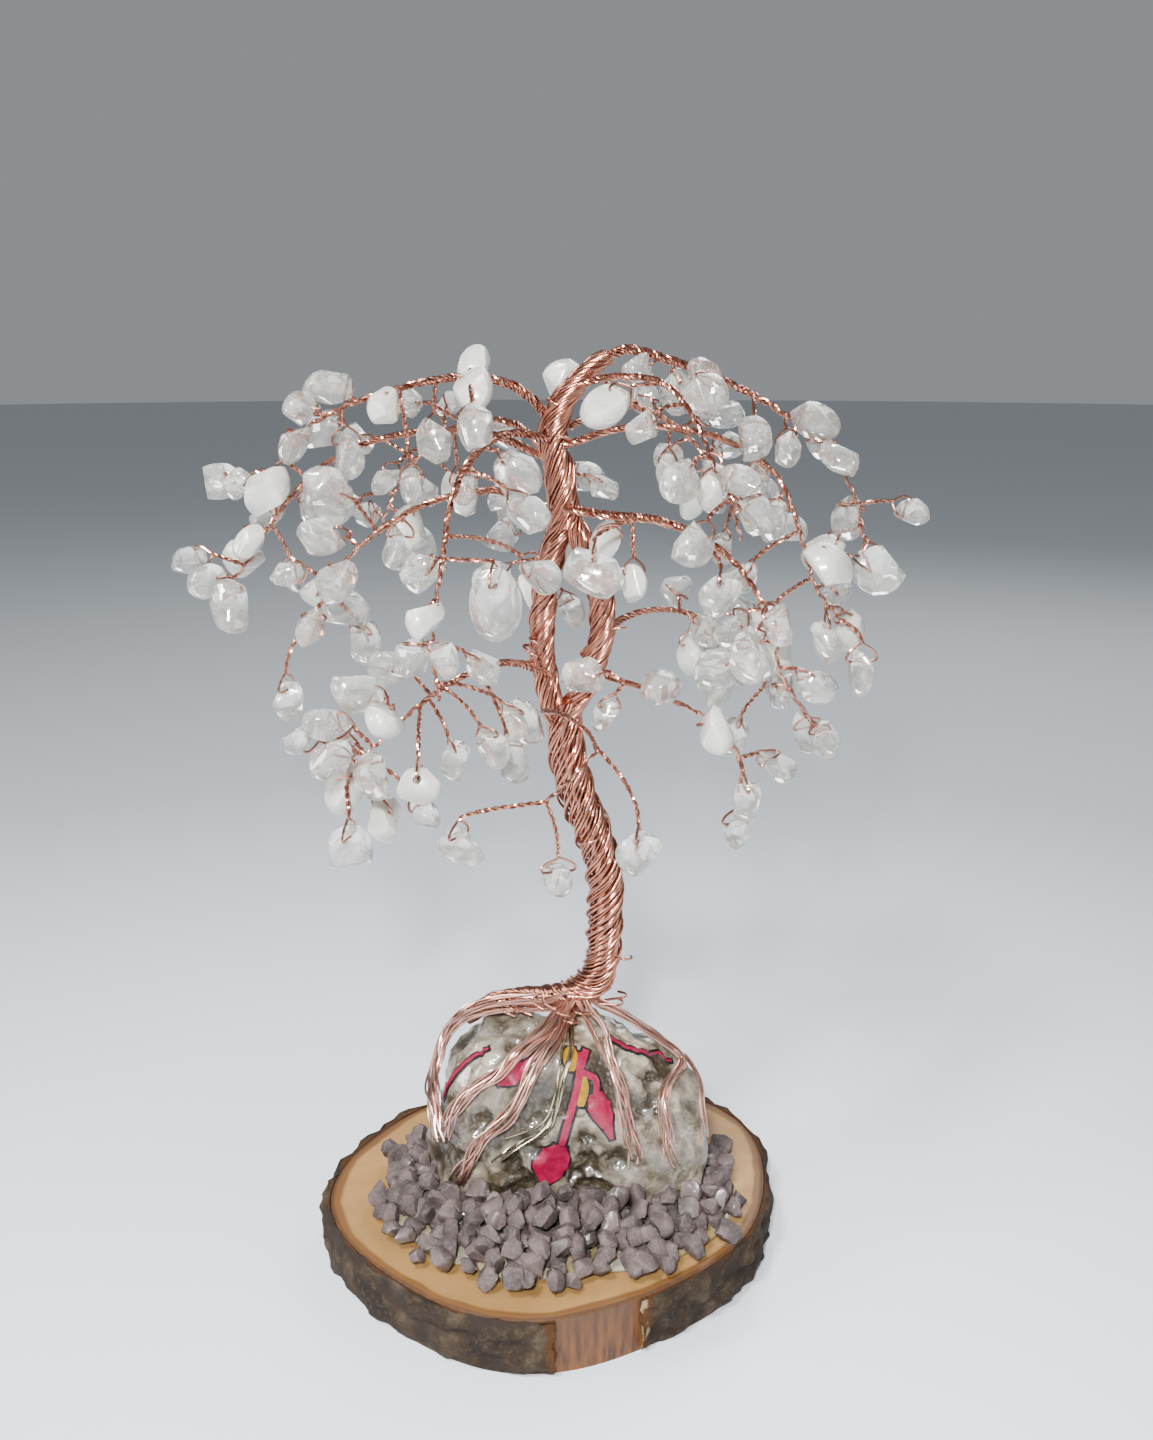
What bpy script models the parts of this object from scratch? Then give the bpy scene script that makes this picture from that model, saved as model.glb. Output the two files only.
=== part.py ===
"""Gemstone wire tree on a slice of wood.

A rope of rose gold wire stands on a rough stone and opens into fifteen drooping branches. Each
branch is a bare twisted stem and a spray of thin twigs with stone chips threaded on them. The lower
ends of the wires run over the stone as roots, the stone and a crescent of gravel are glued to a
round of wood that still has its bark, and the chips that hang clear can swing on their wire loops.

Run it with: blender --background --python part.py
The origin is the middle of the wood's underside, +Z is up and -Y is the front.
"""

import math
from collections import namedtuple

import bmesh
import bpy
import numpy as np
from mathutils import Matrix, Vector, noise

MM = 0.001
CLEARANCE = 0.3 * MM  # air between neighbouring pieces
GOLDEN_ANGLE = math.radians(137.5)
UP = Vector((0, 0, 1))

# Base
SLICE_RADIUS = 45.6 * MM
SLICE_THICKNESS = 11 * MM
SLICE_LOBES = ((1, 2.8 * MM, 106), (2, 1.9 * MM, 37), (3, 1.2 * MM, 36), (5, 0.8 * MM, 44))
BARK_THICKNESS = 2.4 * MM
BARE_FROM, BARE_TO = -90, -66  # degrees round the slice where the bark has come off
GLUE_THICKNESS = 0.8 * MM

# Rock
ROCK_FOOT = Vector((2.5, 6, 0)) * MM + UP * (SLICE_THICKNESS + GLUE_THICKNESS + 2 * CLEARANCE)
ROCK_HALF = Vector((27.5, 18.5, 34.5)) * MM
ROCK_SQUARENESS = 3.4
ROCK_SLOPE = 0.12  # how much lower the right shoulder is than the top
ROCK_BACK_SLOPE = 0.35  # the same for the back
ROCK_LUMP = 0.08

# Gravel
STONE_RADIUS = 4.0 * MM
GRAVEL_FROM, GRAVEL_TO = 150, 375  # degrees round the rock, over the front
GRAVEL_REACH = ((150, 5), (180, 8), (225, 15), (258, 24), (290, 19), (320, 9), (345, 4), (375, 3))
GRAVEL_SPACING = 7.8 * MM
GRAVEL_LAYER = 3.4 * MM  # how much higher the second layer of stones lies
GRAVEL_BED = 1.2 * MM  # thickness of the glued grit under the stones
STONE_GAP = 3.5  # degrees between a bank's end and the middle of its last stone
BANK_GAP = 1.2  # degrees that a bank stops short of where the next one starts
GRAVEL_SECTORS = (("gravel_left", 150, 228), ("gravel_front", 228, 300), ("gravel_right", 300, 375))

# Wire
ROPE_LOBES = 5
ROPE_PITCH = 26 * MM  # length of rope in which its strands go once round
ROPE_STEP = 4 * MM
BRANCH_STEP = 4 * MM
ROOT_STEP = 3 * MM
TWIG_RADIUS = 0.45 * MM
TWIG_REACH = 11 * MM  # usual length of a twig whose chip has no given place
LOOP_RADIUS = 0.3 * MM
FACET_ALLOWANCE = 1.05  # a cutter with flat sides is this much fatter than a round one
HOLE_RADIUS = 0.75 * MM
HOLE_SHARE = 0.26  # how far above a pendant's middle its hole is, as a share of its length
CHIP_ROOM = 0.93  # of a chip's half length: a chip with straight faces doesn't fill its ball
CHIP_HALF = (3.9 * MM, 3.2 * MM, 2.5 * MM)  # half length, width and thickness of a usual chip

Rope = namedtuple("Rope", "name route radii")
Branch = namedtuple("Branch", "name route radius stem clear milky more")
Pendant = namedtuple("Pendant", "name branch leaves hinge heading size")
Root = namedtuple("Root", "name route radius wire")
Twig = namedtuple("Twig", "branch start middle chip turn size")

# Routes and places are in millimetres. A branch is bare for its stem's share of its length. Its
# chips stand at the places given for the clear and the milky ones, and more of them grow from it.
ROPES = (
    Rope("trunk_lower",
         ((1.5, 7, 49.5), (5, 5, 52), (8.4, 3.5, 57), (9.4, 3, 66), (9.4, 3, 77), (7, 3, 86),
          (3.6, 3, 95), (1.8, 3, 104), (1.2, 3, 111.5)), (3.3, 3.4, 3.6, 3.7, 3.3)),
    Rope("limb_left",
         ((0.2, 3, 109), (-2.0, 3, 117), (-2.4, 3, 126), (-1.2, 3, 136), (1.2, 3, 145)),
         (2.3, 2.4, 2.2)),
    Rope("limb_right",
         ((2.6, 3, 109), (6.6, 3, 117), (8.8, 3, 126), (7.2, 3, 137), (2.6, 3, 146)),
         (2.3, 2.4, 2.2)),
    Rope("trunk_upper",
         ((1.8, 3, 144), (1.2, 3, 152), (-0.2, 3, 160), (1.4, 3, 166), (5.2, 3, 171),
          (9.5, 3.4, 174.5)), (2.9, 2.8, 2.6, 2.0, 1.5)),
)

BRANCHES = (
    Branch("crown_left",
           ((-1, 3, 163.5), (-5, 2, 168), (-11, 0, 170.5), (-20, -2, 170.5), (-29, -5, 168.3),
            (-37, -8, 165.5), (-45, -11, 160), (-48.5, -13, 151)), 1.2, 0.22,
           ((-13, -9, 163), (-21, 2, 160), (-25, -3, 152), (-38, -9, 169), (-42, -11, 166),
            (-40, -9, 162), (-35, -8, 158), (-44, -14, 160)),
           ((-14, -4, 169), (-14, -1, 173), (-29, -7, 166), (-48, -15, 153)), 2),
    Branch("crown_right",
           ((9, 3.4, 174), (13, 4, 175.6), (24, 3, 172.5), (33.5, 1, 168.5), (42, 0, 163.5),
            (49, -1, 157.5), (54, -1, 149), (56, 0, 140)), 1.2, 0.12,
           ((15, -1, 172), (22, 6, 168), (27, 2, 171), (26, -8, 168), (34, -8, 161),
            (40, -9, 159), (46, 0, 163), (50, -4, 157), (48, 6, 159), (53, 2, 146), (58, 0, 137)),
           (), 2),
    Branch("right_front",
           ((4, 2, 169.5), (11, -2, 171), (19, -8, 170), (24, -13, 164), (27, -18, 156.5),
            (31, -21, 150)), 0.9, 0.34,
           ((15, -16, 163), (21, -23, 155), (31, -22, 155), (34, -17, 149), (23, -24, 145)),
           ((27, -13, 152), (9, -7, 166)), 0),
    Branch("right_outer",
           ((2, 1, 159), (14, -3, 162.5), (28, -7, 161), (38, -10, 155), (42, -13, 146),
            (45, -14, 136), (50, -13, 130)), 0.9, 0.36,
           ((36, -2, 153), (38, -8, 147), (47, -17, 127)),
           ((47, -15, 140), (53, -9, 127)), 4),
    Branch("right_middle",
           ((2, 1, 148), (9, -7, 147.5), (18, -13, 147.3), (27, -19, 144), (33, -23, 138),
            (37, -24, 130), (38, -23, 123), (42, -21, 117), (46, -18, 111)), 1.2, 0.16,
           ((37, -29, 132), (32, -29, 128), (31, -16, 129), (47, -19, 110), (28, -20, 123)),
           ((9, -2, 142), (14, -12, 136)), 4),
    Branch("right_low",
           ((3, 0, 117.5), (8, -10, 119.5), (15, -19, 119.5), (22, -24, 117.5), (29, -25, 113.5),
            (32.5, -23, 106)), 0.8, 0.34,
           ((5, -14, 120), (9, -14, 113), (18, -25, 121), (39, -20, 106), (33, -25, 101)),
           ((27, -28, 114),), 0),
    Branch("left_droop",
           ((-1, 1, 160), (-8, -6, 161.5), (-14, -13, 157.5), (-17, -19, 150.5), (-18, -22, 143),
            (-19.5, -23.5, 134), (-20, -24.5, 126), (-19, -25, 118.5)), 1.0, 0.2,
           ((-6, -12, 155), (-4, -14, 149), (-15, -12, 153), (-22, -18, 139), (-18, -27, 126),
            (-24, -20, 125), (-2, -15, 138), (-10, -24, 110), (-5, -18, 113)),
           ((-21, -27, 133),), 2),
    Branch("left_outer",
           ((-0.5, 1, 147), (-10, -4, 151.5), (-21, -8, 150), (-29, -12, 146), (-36, -15, 140),
            (-41, -16, 131)), 1.0, 0.34,
           ((-38, -14, 153), (-39, -16, 145), (-46, -12, 138), (-36, -21, 138), (-41, -20, 130),
            (-36, -13, 132), (-27, -8, 142)),
           (), 2),
    Branch("far_left",
           ((-0.5, 4, 156), (-13, 4, 161), (-29, 2, 160.5), (-41, -1, 155.5), (-49, -4, 147),
            (-54, -6, 139), (-59, -7, 134)), 1.0, 0.36,
           ((-61, -8, 136), (-56, -11, 132), (-52, 3, 146)),
           ((-53, -10, 143),), 5),
    Branch("left_low",
           ((-1, 1, 117), (-8, -6, 121), (-16, -13, 120), (-24, -19, 115.5), (-31, -24, 109.5),
            (-35, -26, 104)), 1.0, 0.3,
           ((-29, -16, 122), (-33, -23, 120), (-38, -24, 115), (-44, -20, 110), (-36, -29, 111),
            (-30, -32, 107), (-22, -27, 98), (-7, -14, 105), (-17, -18, 106)),
           ((-36, -22, 102), (-28, -23, 116)), 2),
    Branch("front_sprig",
           ((-0.5, 0, 108), (-2, -8, 112.5), (3, -19, 114), (7.5, -28, 111.5), (4, -32, 108),
            (-1, -33.5, 103.5)), 0.7, 0.34, (), (), 0),
    Branch("back_left",
           ((-0.5, 4, 157), (-9, 14, 162.5), (-21, 26, 160), (-31, 34, 150), (-37, 39, 138)),
           1.0, 0.3, (), (), 12),
    Branch("back_right",
           ((3, 4, 162), (11, 15, 165.5), (23, 27, 161), (33, 35, 150), (38, 39, 137)),
           1.0, 0.3, (), ((2, 12, 170),), 11),
    Branch("back_middle",
           ((2, 5, 148), (3, 17, 153), (1, 31, 150), (-2, 41, 139), (-3, 45, 126)),
           1.0, 0.34, (), (), 11),
    Branch("back_low",
           ((5, 5, 120), (14, 13, 126), (26, 21, 125), (37, 25, 117), (44, 25, 106)),
           1.0, 0.34, (), (), 11),
)

# A chip that hangs clear: the spray it hangs from, how far along the branch its twig leaves, the
# middle of its hole, the heading of the hole's axis in degrees, and its length, width and thickness.
PENDANTS = (
    Pendant("pendant_front_right", "front_sprig", 0.70, (14.3, -32, 96), 80, (8.2, 7.8, 4.6)),
    Pendant("pendant_front_middle", "front_sprig", 1.00, (1.0, -34, 91.5), 15, (5.6, 7.2, 4.6)),
    Pendant("pendant_front_left", "front_sprig", 1.00, (-15.5, -33.5, 97.5), 60, (6.6, 9.0, 4.4)),
    Pendant("pendant_low_left", "left_low", 1.00, (-34.5, -28, 95.5), 75, (8.4, 8.0, 4.8)),
    Pendant("pendant_milky_left", "left_low", 0.62, (-22.5, -27.5, 106), 85, (6.6, 7.6, 4.2)),
    Pendant("pendant_low_right", "right_low", 1.00, (31.8, -22, 96), 20, (6.2, 7.4, 4.2)),
    Pendant("pendant_outer_left", "left_outer", 1.00, (-46.5, -15, 118), 70, (7.4, 6.0, 4.0)),
    Pendant("pendant_outer_right", "right_outer", 1.00, (54, -12, 122.5), 10, (8.4, 6.2, 4.4)),
    Pendant("pendant_big_left", "left_droop", 0.62, (-9.5, -25, 138), 78, (12.5, 9.0, 5.2)),
    Pendant("pendant_big_middle", "right_middle", 0.24, (7.0, -16, 141), 84, (9.0, 10.5, 5.2)),
    Pendant("pendant_right", "right_middle", 0.38, (27.5, -26, 138.5), 82, (7.6, 7.2, 4.6)),
)

# A root's route is headings round the rock, 270 to the front, and heights over its foot, both in
# degrees. The two that start away from the trunk part from the root before them.
ROOTS = (
    Root("root_left", ((235, 80), (204, 70), (192, 55), (184, 43), (193, 34), (212, 27), (222, 18)),
         1.7, "rose_wire"),
    Root("root_middle_left", ((254, 74), (247, 56), (240, 42), (231, 34), (226, 27), (224, 18)),
         1.1, "rose_wire"),
    Root("root_front_left", ((268, 74), (258, 52), (250, 34), (241, 24), (232, 12), (227, 5)),
         1.2, "rose_wire"),
    Root("root_front_gold", ((276, 70), (270, 50), (264, 33), (254, 24), (243, 16)),
         0.6, "gold_wire"),
    Root("root_front_right", ((296, 74), (292, 54), (293, 38), (294, 28), (295, 18)),
         1.3, "rose_wire"),
    Root("root_right", ((330, 78), (337, 62), (346, 47), (320, 41), (307, 32), (308, 17)),
         1.1, "rose_wire"),
    Root("root_far_right", ((356, 44), (344, 38), (332, 30), (326, 19)), 0.6, "rose_wire"),
    Root("root_back", ((80, 74), (74, 55), (62, 42), (58, 28), (64, 16)), 1.5, "rose_wire"),
)

# Blender colour, roughness, metallic
MATERIALS = {
    "pale_wood": ((0.72, 0.50, 0.27, 1), 0.55, 0),
    "bark": ((0.09, 0.06, 0.045, 1), 0.9, 0),
    "clear_glue": ((0.62, 0.60, 0.55, 1), 0.15, 0),
    "varnished_rock": ((0.48, 0.45, 0.40, 1), 0.35, 0),
    "mauve_gravel": ((0.26, 0.21, 0.22, 1), 0.6, 0),
    "rose_wire": ((0.80, 0.47, 0.38, 1), 0.28, 1),
    "gold_wire": ((0.72, 0.66, 0.45, 1), 0.3, 1),
    "quartz_chip": ((0.85, 0.87, 0.85, 1), 0.12, 0),
}


def clear_scene():
    for old in list(bpy.data.objects):
        bpy.data.objects.remove(old)


def make_materials():
    for name, (colour, roughness, metallic) in MATERIALS.items():
        material = bpy.data.materials.new(name)
        material.use_nodes = True
        shader = material.node_tree.nodes["Principled BSDF"]
        shader.inputs["Base Color"].default_value = colour
        shader.inputs["Roughness"].default_value = roughness
        shader.inputs["Metallic"].default_value = metallic


def new_collection(name):
    collection = bpy.data.collections.new(name)
    bpy.context.scene.collection.children.link(collection)
    return collection


def add_object(name, data, collection, material=None):
    made = bpy.data.objects.new(name, data)
    collection.objects.link(made)
    if material:
        data.materials.clear()
        data.materials.append(bpy.data.materials[material])
    return made


# Curves and how far apart things are


def curve_through(points):
    """Points close together on one smooth curve through these."""
    ends = [2 * points[0] - points[1], *points, 2 * points[-1] - points[-2]]
    dense = []
    for before, here, after, beyond in zip(ends, ends[1:], ends[2:], ends[3:]):
        for i in range(12):
            t = i / 12
            dense.append(0.5 * (2 * here + (after - before) * t
                                + (2 * before - 5 * here + 4 * after - beyond) * t ** 2
                                + (3 * here - before - 3 * after + beyond) * t ** 3))
    return [*dense, points[-1]]


def smooth(route, step):
    """Evenly spaced points on the smooth curve through a route's points, in metres."""
    return spaced(curve_through([Vector(point) * MM for point in route]), step)


def spaced(points, step):
    """The same line with its points as near to a step apart as divides it evenly."""
    lengths = [(b - a).length for a, b in zip(points, points[1:])]
    count = max(2, round(sum(lengths) / step))
    found, walked, i = [points[0]], 0.0, 0
    for k in range(1, count):
        goal = sum(lengths) * k / count
        while walked + lengths[i] < goal:
            walked += lengths[i]
            i += 1
        found.append(points[i].lerp(points[i + 1], (goal - walked) / lengths[i]))
    return [*found, points[-1]]


def along(values, share):
    """The value at a share of the way through an evenly spaced list."""
    place = max(0.0, min(1.0, share)) * (len(values) - 1)
    i = min(int(place), len(values) - 2)
    return values[i] + (values[i + 1] - values[i]) * (place - i)


def leaning(share, before, after):
    """Eases from before to after as share goes from 0 to 1."""
    eased = share * share * (3 - 2 * share)
    return before + (after - before) * eased


class Room:
    """The room that is taken, as balls, so that a new twig or chip can be kept clear of it."""

    def __init__(self):
        self.centres = np.empty((0, 3))
        self.radii = np.empty(0)
        self.owners = np.empty(0, dtype="U40")

    def take(self, owner, points, radius):
        self.centres = np.vstack([self.centres, np.array(points, float)])
        self.radii = np.append(self.radii, [radius] * len(points))
        self.owners = np.append(self.owners, [owner] * len(points))

    def is_free(self, points, radius, ignoring=()):
        others = ~np.isin(self.owners, list(ignoring))
        gaps = np.linalg.norm(np.array(points, float)[:, None] - self.centres[others], axis=2)
        return bool((gaps > self.radii[others] + radius + CLEARANCE).all())


# Where the twigs and chips go


def branch_line(branch):
    return smooth(branch.route, BRANCH_STEP)


def twig_line(start, middle, end):
    return [start.lerp(middle, t).lerp(middle.lerp(end, t), t) for t in (0, 0.4, 0.75, 1)]


def loop_height(size):
    """How far above its hole a pendant's loop closes."""
    return (0.5 - HOLE_SHARE) * size[0] * MM + 1.1 * MM


def pendant_twig(pendant):
    """The line of a pendant's twig, from its branch down to the top of its wire loop."""
    branch = next(b for b in BRANCHES if b.name == pendant.branch)
    start = along(branch_line(branch), pendant.leaves)
    end = Vector(pendant.hinge) * MM + UP * loop_height(pendant.size)
    return twig_line(start, Vector((end.x, end.y, 0.5 * start.z + 0.5 * end.z)), end)


def fill_room():
    """Takes the room of everything that is placed by hand."""
    room = Room()
    for rope in ROPES:
        room.take(rope.name, smooth(rope.route, 1.5 * MM), max(rope.radii) * MM)
    for branch in BRANCHES:
        line, _, rest, _ = branch_parts(branch)
        room.take("stem_" + branch.name, spaced(line, 1 * MM), branch.radius * MM)
        room.take(branch.name, spaced(rest, 1 * MM), branch.radius * MM)
    for pendant in PENDANTS:
        length, width, _ = (side * MM for side in pendant.size)
        middle = Vector(pendant.hinge) * MM - UP * HOLE_SHARE * length
        room.take(pendant.name, [middle], max(length, width) / 2 + 0.6 * MM)
        room.take(pendant.branch, spaced(pendant_twig(pendant), 1 * MM), 2 * TWIG_RADIUS)
    return room


def given_twig(branch, line, place, number, attempt):
    """A twig to a chip with a given place, which gives way to the front or the back if it must."""
    chip = Vector(place) * MM
    chip.y += (-1) ** attempt * ((attempt + 1) // 2) * 0.8 * MM
    shares = [branch.stem + 0.06 + (0.94 - branch.stem) * i / 40 for i in range(41)]
    nearest = min(shares, key=lambda share: (along(line, share) - chip).length)
    start = along(line, max(branch.stem + 0.06, nearest - 0.05))
    middle = start.lerp(chip, 0.5) + UP * 0.18 * (chip - start).length
    return Twig(branch.name, start, middle, chip, number * GOLDEN_ANGLE, chip_size(branch, number))


def grown_twig(branch, line, number, attempt):
    """One way in which a twig could grow from a branch. Later attempts turn it and vary it."""
    count = len(branch.clear) + len(branch.milky) + branch.more
    share = branch.stem + 0.08 + (0.90 - branch.stem) * number / count
    start = along(line, share - 0.01 * (attempt % 4))
    tangent = (along(line, share) - along(line, share - 0.05)).normalized()
    side = tangent.cross(UP).normalized()
    turn = number * GOLDEN_ANGLE + attempt * 0.7
    outward = side * math.cos(turn) + side.cross(tangent) * math.sin(turn)
    if start.y < 0:
        outward.y = abs(outward.y)
    vary = 0.5 + 0.5 * math.sin(12.9 * number + 78.2 * len(branch.name) + 3.1 * attempt)
    reach = TWIG_REACH * (0.7 + 0.55 * vary)
    heading = (outward + tangent * 0.25 - UP * 0.3).normalized()
    chip = start + heading * reach
    middle = start + (heading + UP * 0.25) * reach * 0.55
    return Twig(branch.name, start, middle, chip, turn + vary, chip_size(branch, number))


def chip_size(branch, number):
    growth = 0.82 + 0.34 * ((number * 7 + len(branch.name) * 3) % 11) / 10
    return tuple(half * growth for half in CHIP_HALF)


def place_twigs():
    """Every twig that carries a joined chip, each clear of all the others."""
    room, placed = fill_room(), []
    for branch in BRANCHES:
        line = branch_line(branch)
        for number, place in enumerate(branch.clear + branch.milky):
            ways = (given_twig(branch, line, place, number, attempt) for attempt in range(15))
            placed += take_first_free(room, branch, ways)
    for branch in BRANCHES:
        line = branch_line(branch)
        given = len(branch.clear) + len(branch.milky)
        for number in range(given, given + branch.more):
            ways = (grown_twig(branch, line, number, attempt) for attempt in range(30))
            placed += take_first_free(room, branch, ways)
    return placed


def take_first_free(room, branch, ways):
    """Takes the room of the first of these twigs that is free, and gives it in a list."""
    for twig in ways:
        wire = spaced(twig_line(twig.start, twig.middle, twig.chip), 1 * MM)
        own_wires, own_chips = branch.name, branch.name + "_chips"
        chip_room = CHIP_ROOM * twig.size[0]
        if (room.is_free([twig.chip], chip_room, ignoring=(own_wires,))
                and room.is_free(wire, TWIG_RADIUS, ignoring=(own_wires, own_chips))):
            room.take(own_chips, [twig.chip], chip_room)
            room.take(own_wires, wire[:-3], TWIG_RADIUS)
            return [twig]
    return []


# Solids


def welded_mesh(name, source):
    """A closed mesh of a curve object, whose loose caps are welded to its sides."""
    graph = bpy.context.evaluated_depsgraph_get()
    mesh = bpy.data.meshes.new_from_object(source.evaluated_get(graph))
    mesh.name = name
    shape = bmesh.new()
    shape.from_mesh(mesh)
    bmesh.ops.remove_doubles(shape, verts=shape.verts, dist=1e-6)
    bmesh.ops.recalc_face_normals(shape, faces=shape.faces)
    shape.to_mesh(mesh)
    shape.free()
    return mesh


def wire_mesh(name, points, radii, fineness=0, cyclic=False, section=None, pitch=None):
    """A wire along these points. A section curve and a pitch make it a twisted rope."""
    curve = bpy.data.curves.new(name, "CURVE")
    curve.dimensions = "3D"
    curve.bevel_resolution = fineness
    curve.use_fill_caps = True
    curve.bevel_depth = 1 * MM
    if section:
        curve.bevel_mode = "OBJECT"
        curve.bevel_object = section
    spline = curve.splines.new("POLY")
    spline.points.add(len(points) - 1)
    spline.use_cyclic_u = cyclic
    walked = 0.0
    for i, point in enumerate(points):
        spline.points[i].co = (*point, 1)
        spline.points[i].radius = along(radii, i / (len(points) - 1)) / MM
        if pitch and i:
            walked += (point - points[i - 1]).length
            spline.points[i].tilt = 2 * math.pi * walked / pitch
    guide = add_object(name + "_guide", curve, bpy.context.scene.collection)
    mesh = welded_mesh(name, guide)
    bpy.data.objects.remove(guide)
    return mesh


def rope_section(collection):
    """The outline of a rope's section: round strands side by side, 1 mm in radius."""
    curve = bpy.data.curves.new("rope_section", "CURVE")
    curve.dimensions = "2D"
    spline = curve.splines.new("POLY")
    count = 3 * ROPE_LOBES
    spline.points.add(count - 1)
    spline.use_cyclic_u = True
    for i in range(count):
        angle = 2 * math.pi * i / count
        radius = MM * (1.0 if i % 3 else 0.8)
        spline.points[i].co = (radius * math.cos(angle), radius * math.sin(angle), 0, 1)
    section = add_object("rope_section", curve, collection)
    section.hide_render = True
    section.display_type = "WIRE"
    return section


def boolean(target, others, operation):
    """Joins or cuts target with closed meshes, and keeps the result as its mesh."""
    operands = bpy.data.collections.new("operands")
    for other in others:
        operands.objects.link(other)
    modifier = target.modifiers.new(operation.lower(), "BOOLEAN")
    modifier.operation = operation
    modifier.solver = "EXACT"
    modifier.operand_type = "COLLECTION"
    modifier.collection = operands
    graph = bpy.context.evaluated_depsgraph_get()
    mesh = bpy.data.meshes.new_from_object(target.evaluated_get(graph))
    target.modifiers.clear()
    target.data = mesh
    for other in others:
        bpy.data.objects.remove(other)
    bpy.data.collections.remove(operands)
    return target


def helper(mesh, collection):
    """An object that only cuts or joins others, drawn as wire and never rendered."""
    made = add_object(mesh.name + "_helper", mesh, collection)
    made.hide_render = True
    made.display_type = "WIRE"
    return made


def stone_mesh(name, half, turn, faces_level=1, roughness=0.12):
    """A small broken stone of these half sizes, turned to lie at an angle of its own."""
    shape = bmesh.new()
    bmesh.ops.create_icosphere(shape, subdivisions=faces_level, radius=1)
    turned = (Matrix.Rotation(turn, 3, "Z") @ Matrix.Rotation(turn * 1.7, 3, "X")
              @ Matrix.Diagonal(half))
    for vertex in shape.verts:
        bump = noise.noise(vertex.co * 1.3 + Vector((turn, 2 * turn, 3 * turn)))
        vertex.co = turned @ (vertex.co * (1 + roughness * bump))
    mesh = bpy.data.meshes.new(name)
    shape.to_mesh(mesh)
    shape.free()
    return mesh


# Base


def rim(angle, inset=0.0):
    """A point of the slice's rim, an angle in radians round it."""
    radius = SLICE_RADIUS - inset
    for count, height, crest in SLICE_LOBES:
        radius += height * math.cos(count * (angle - math.radians(crest)))
    return Vector((radius * math.cos(angle), radius * math.sin(angle), 0))


def slab(name, outline, bottom, top, collection, material):
    """A flat outline, extruded from bottom to top."""
    curve = bpy.data.curves.new(name, "CURVE")
    curve.dimensions = "2D"
    curve.fill_mode = "BOTH"
    curve.extrude = (top - bottom) / 2
    spline = curve.splines.new("POLY")
    spline.points.add(len(outline) - 1)
    spline.use_cyclic_u = True
    for i, point in enumerate(outline):
        spline.points[i].co = (point.x, point.y, 0, 1)
    made = add_object(name, curve, collection, material)
    made.location.z = (top + bottom) / 2
    return made


def build_slice(collection):
    inset = BARK_THICKNESS + CLEARANCE
    outline = [rim(2 * math.pi * i / 48, inset) for i in range(48)]
    slab("wood_slice", outline, 0, SLICE_THICKNESS, collection, "pale_wood")


def build_bark(collection):
    """A ring of bark, open where it has come away from the wood."""
    start, end = math.radians(BARE_TO), math.radians(BARE_FROM + 360)
    angles = [start + (end - start) * i / 45 for i in range(46)]
    outer = [rim(angle) for angle in angles]
    inner = [rim(angle, BARK_THICKNESS) for angle in reversed(angles)]
    slab("bark_rim", outer + inner, CLEARANCE, SLICE_THICKNESS, collection, "bark")


def rock_point(direction, outside=0.0):
    """The rock's surface in this direction from the middle of its foot, or a point outside it."""
    x, y, z = (abs(side) for side in direction)
    power = ROCK_SQUARENESS
    reach = (x ** power + y ** power + z ** power) ** (-1 / power)
    reach *= 1 + ROCK_LUMP * noise.noise(direction * 1.9 + Vector((4.1, 0.3, 2.2)))
    point = Vector(direction[i] * reach * ROCK_HALF[i] for i in range(3))
    point.z *= 1 - ROCK_SLOPE * point.x / ROCK_HALF.x
    point.z *= 1 - ROCK_BACK_SLOPE * max(0.0, point.y / ROCK_HALF.y)
    outward = Vector(direction[i] / ROCK_HALF[i] for i in range(3)).normalized()
    return ROCK_FOOT + point + outward * outside


def rock_mesh(name, outside=0.0):
    shape = bmesh.new()
    bmesh.ops.create_icosphere(shape, subdivisions=3, radius=1)
    for vertex in shape.verts:
        vertex.co = rock_point(vertex.co.normalized(), outside)
    foot = ROCK_FOOT - UP * outside
    everything = shape.verts[:] + shape.edges[:] + shape.faces[:]
    bmesh.ops.bisect_plane(shape, geom=everything, plane_co=foot, plane_no=-UP, clear_outer=True)
    bmesh.ops.holes_fill(shape, edges=[edge for edge in shape.edges if edge.is_boundary])
    bmesh.ops.triangulate(shape, faces=[face for face in shape.faces if len(face.verts) > 4])
    mesh = bpy.data.meshes.new(name)
    shape.to_mesh(mesh)
    shape.free()
    return mesh


def build_rock(collection):
    add_object("feature_rock", rock_mesh("feature_rock"), collection, "varnished_rock")


def gravel_reach(angle):
    """How far the gravel reaches out from the rock at a heading in degrees."""
    for (before, near), (after, far) in zip(GRAVEL_REACH, GRAVEL_REACH[1:]):
        if angle <= after:
            return (near + (far - near) * (angle - before) / (after - before)) * MM
    return GRAVEL_REACH[-1][1] * MM


def beside_rock(angle, distance):
    """A point on the ground at a heading in degrees and a distance out from the rock's foot."""
    heading = math.radians(angle)
    direction = Vector((math.cos(heading), math.sin(heading), 0))
    foot = rock_point(direction)
    return Vector((foot.x, foot.y, 0)) + direction * distance


def build_glue(collection):
    """The thin pool of clear glue under the rock and the gravel."""
    outline = []
    for i in range(40):
        angle = GRAVEL_FROM + 360 * i / 40
        reach = gravel_reach(angle) if angle <= GRAVEL_TO else GRAVEL_REACH[-1][1] * MM
        outline.append(beside_rock(angle, 0.8 * reach))
    bottom = SLICE_THICKNESS + CLEARANCE
    slab("glue_pool", outline, bottom, bottom + GLUE_THICKNESS, collection, "clear_glue")


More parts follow.
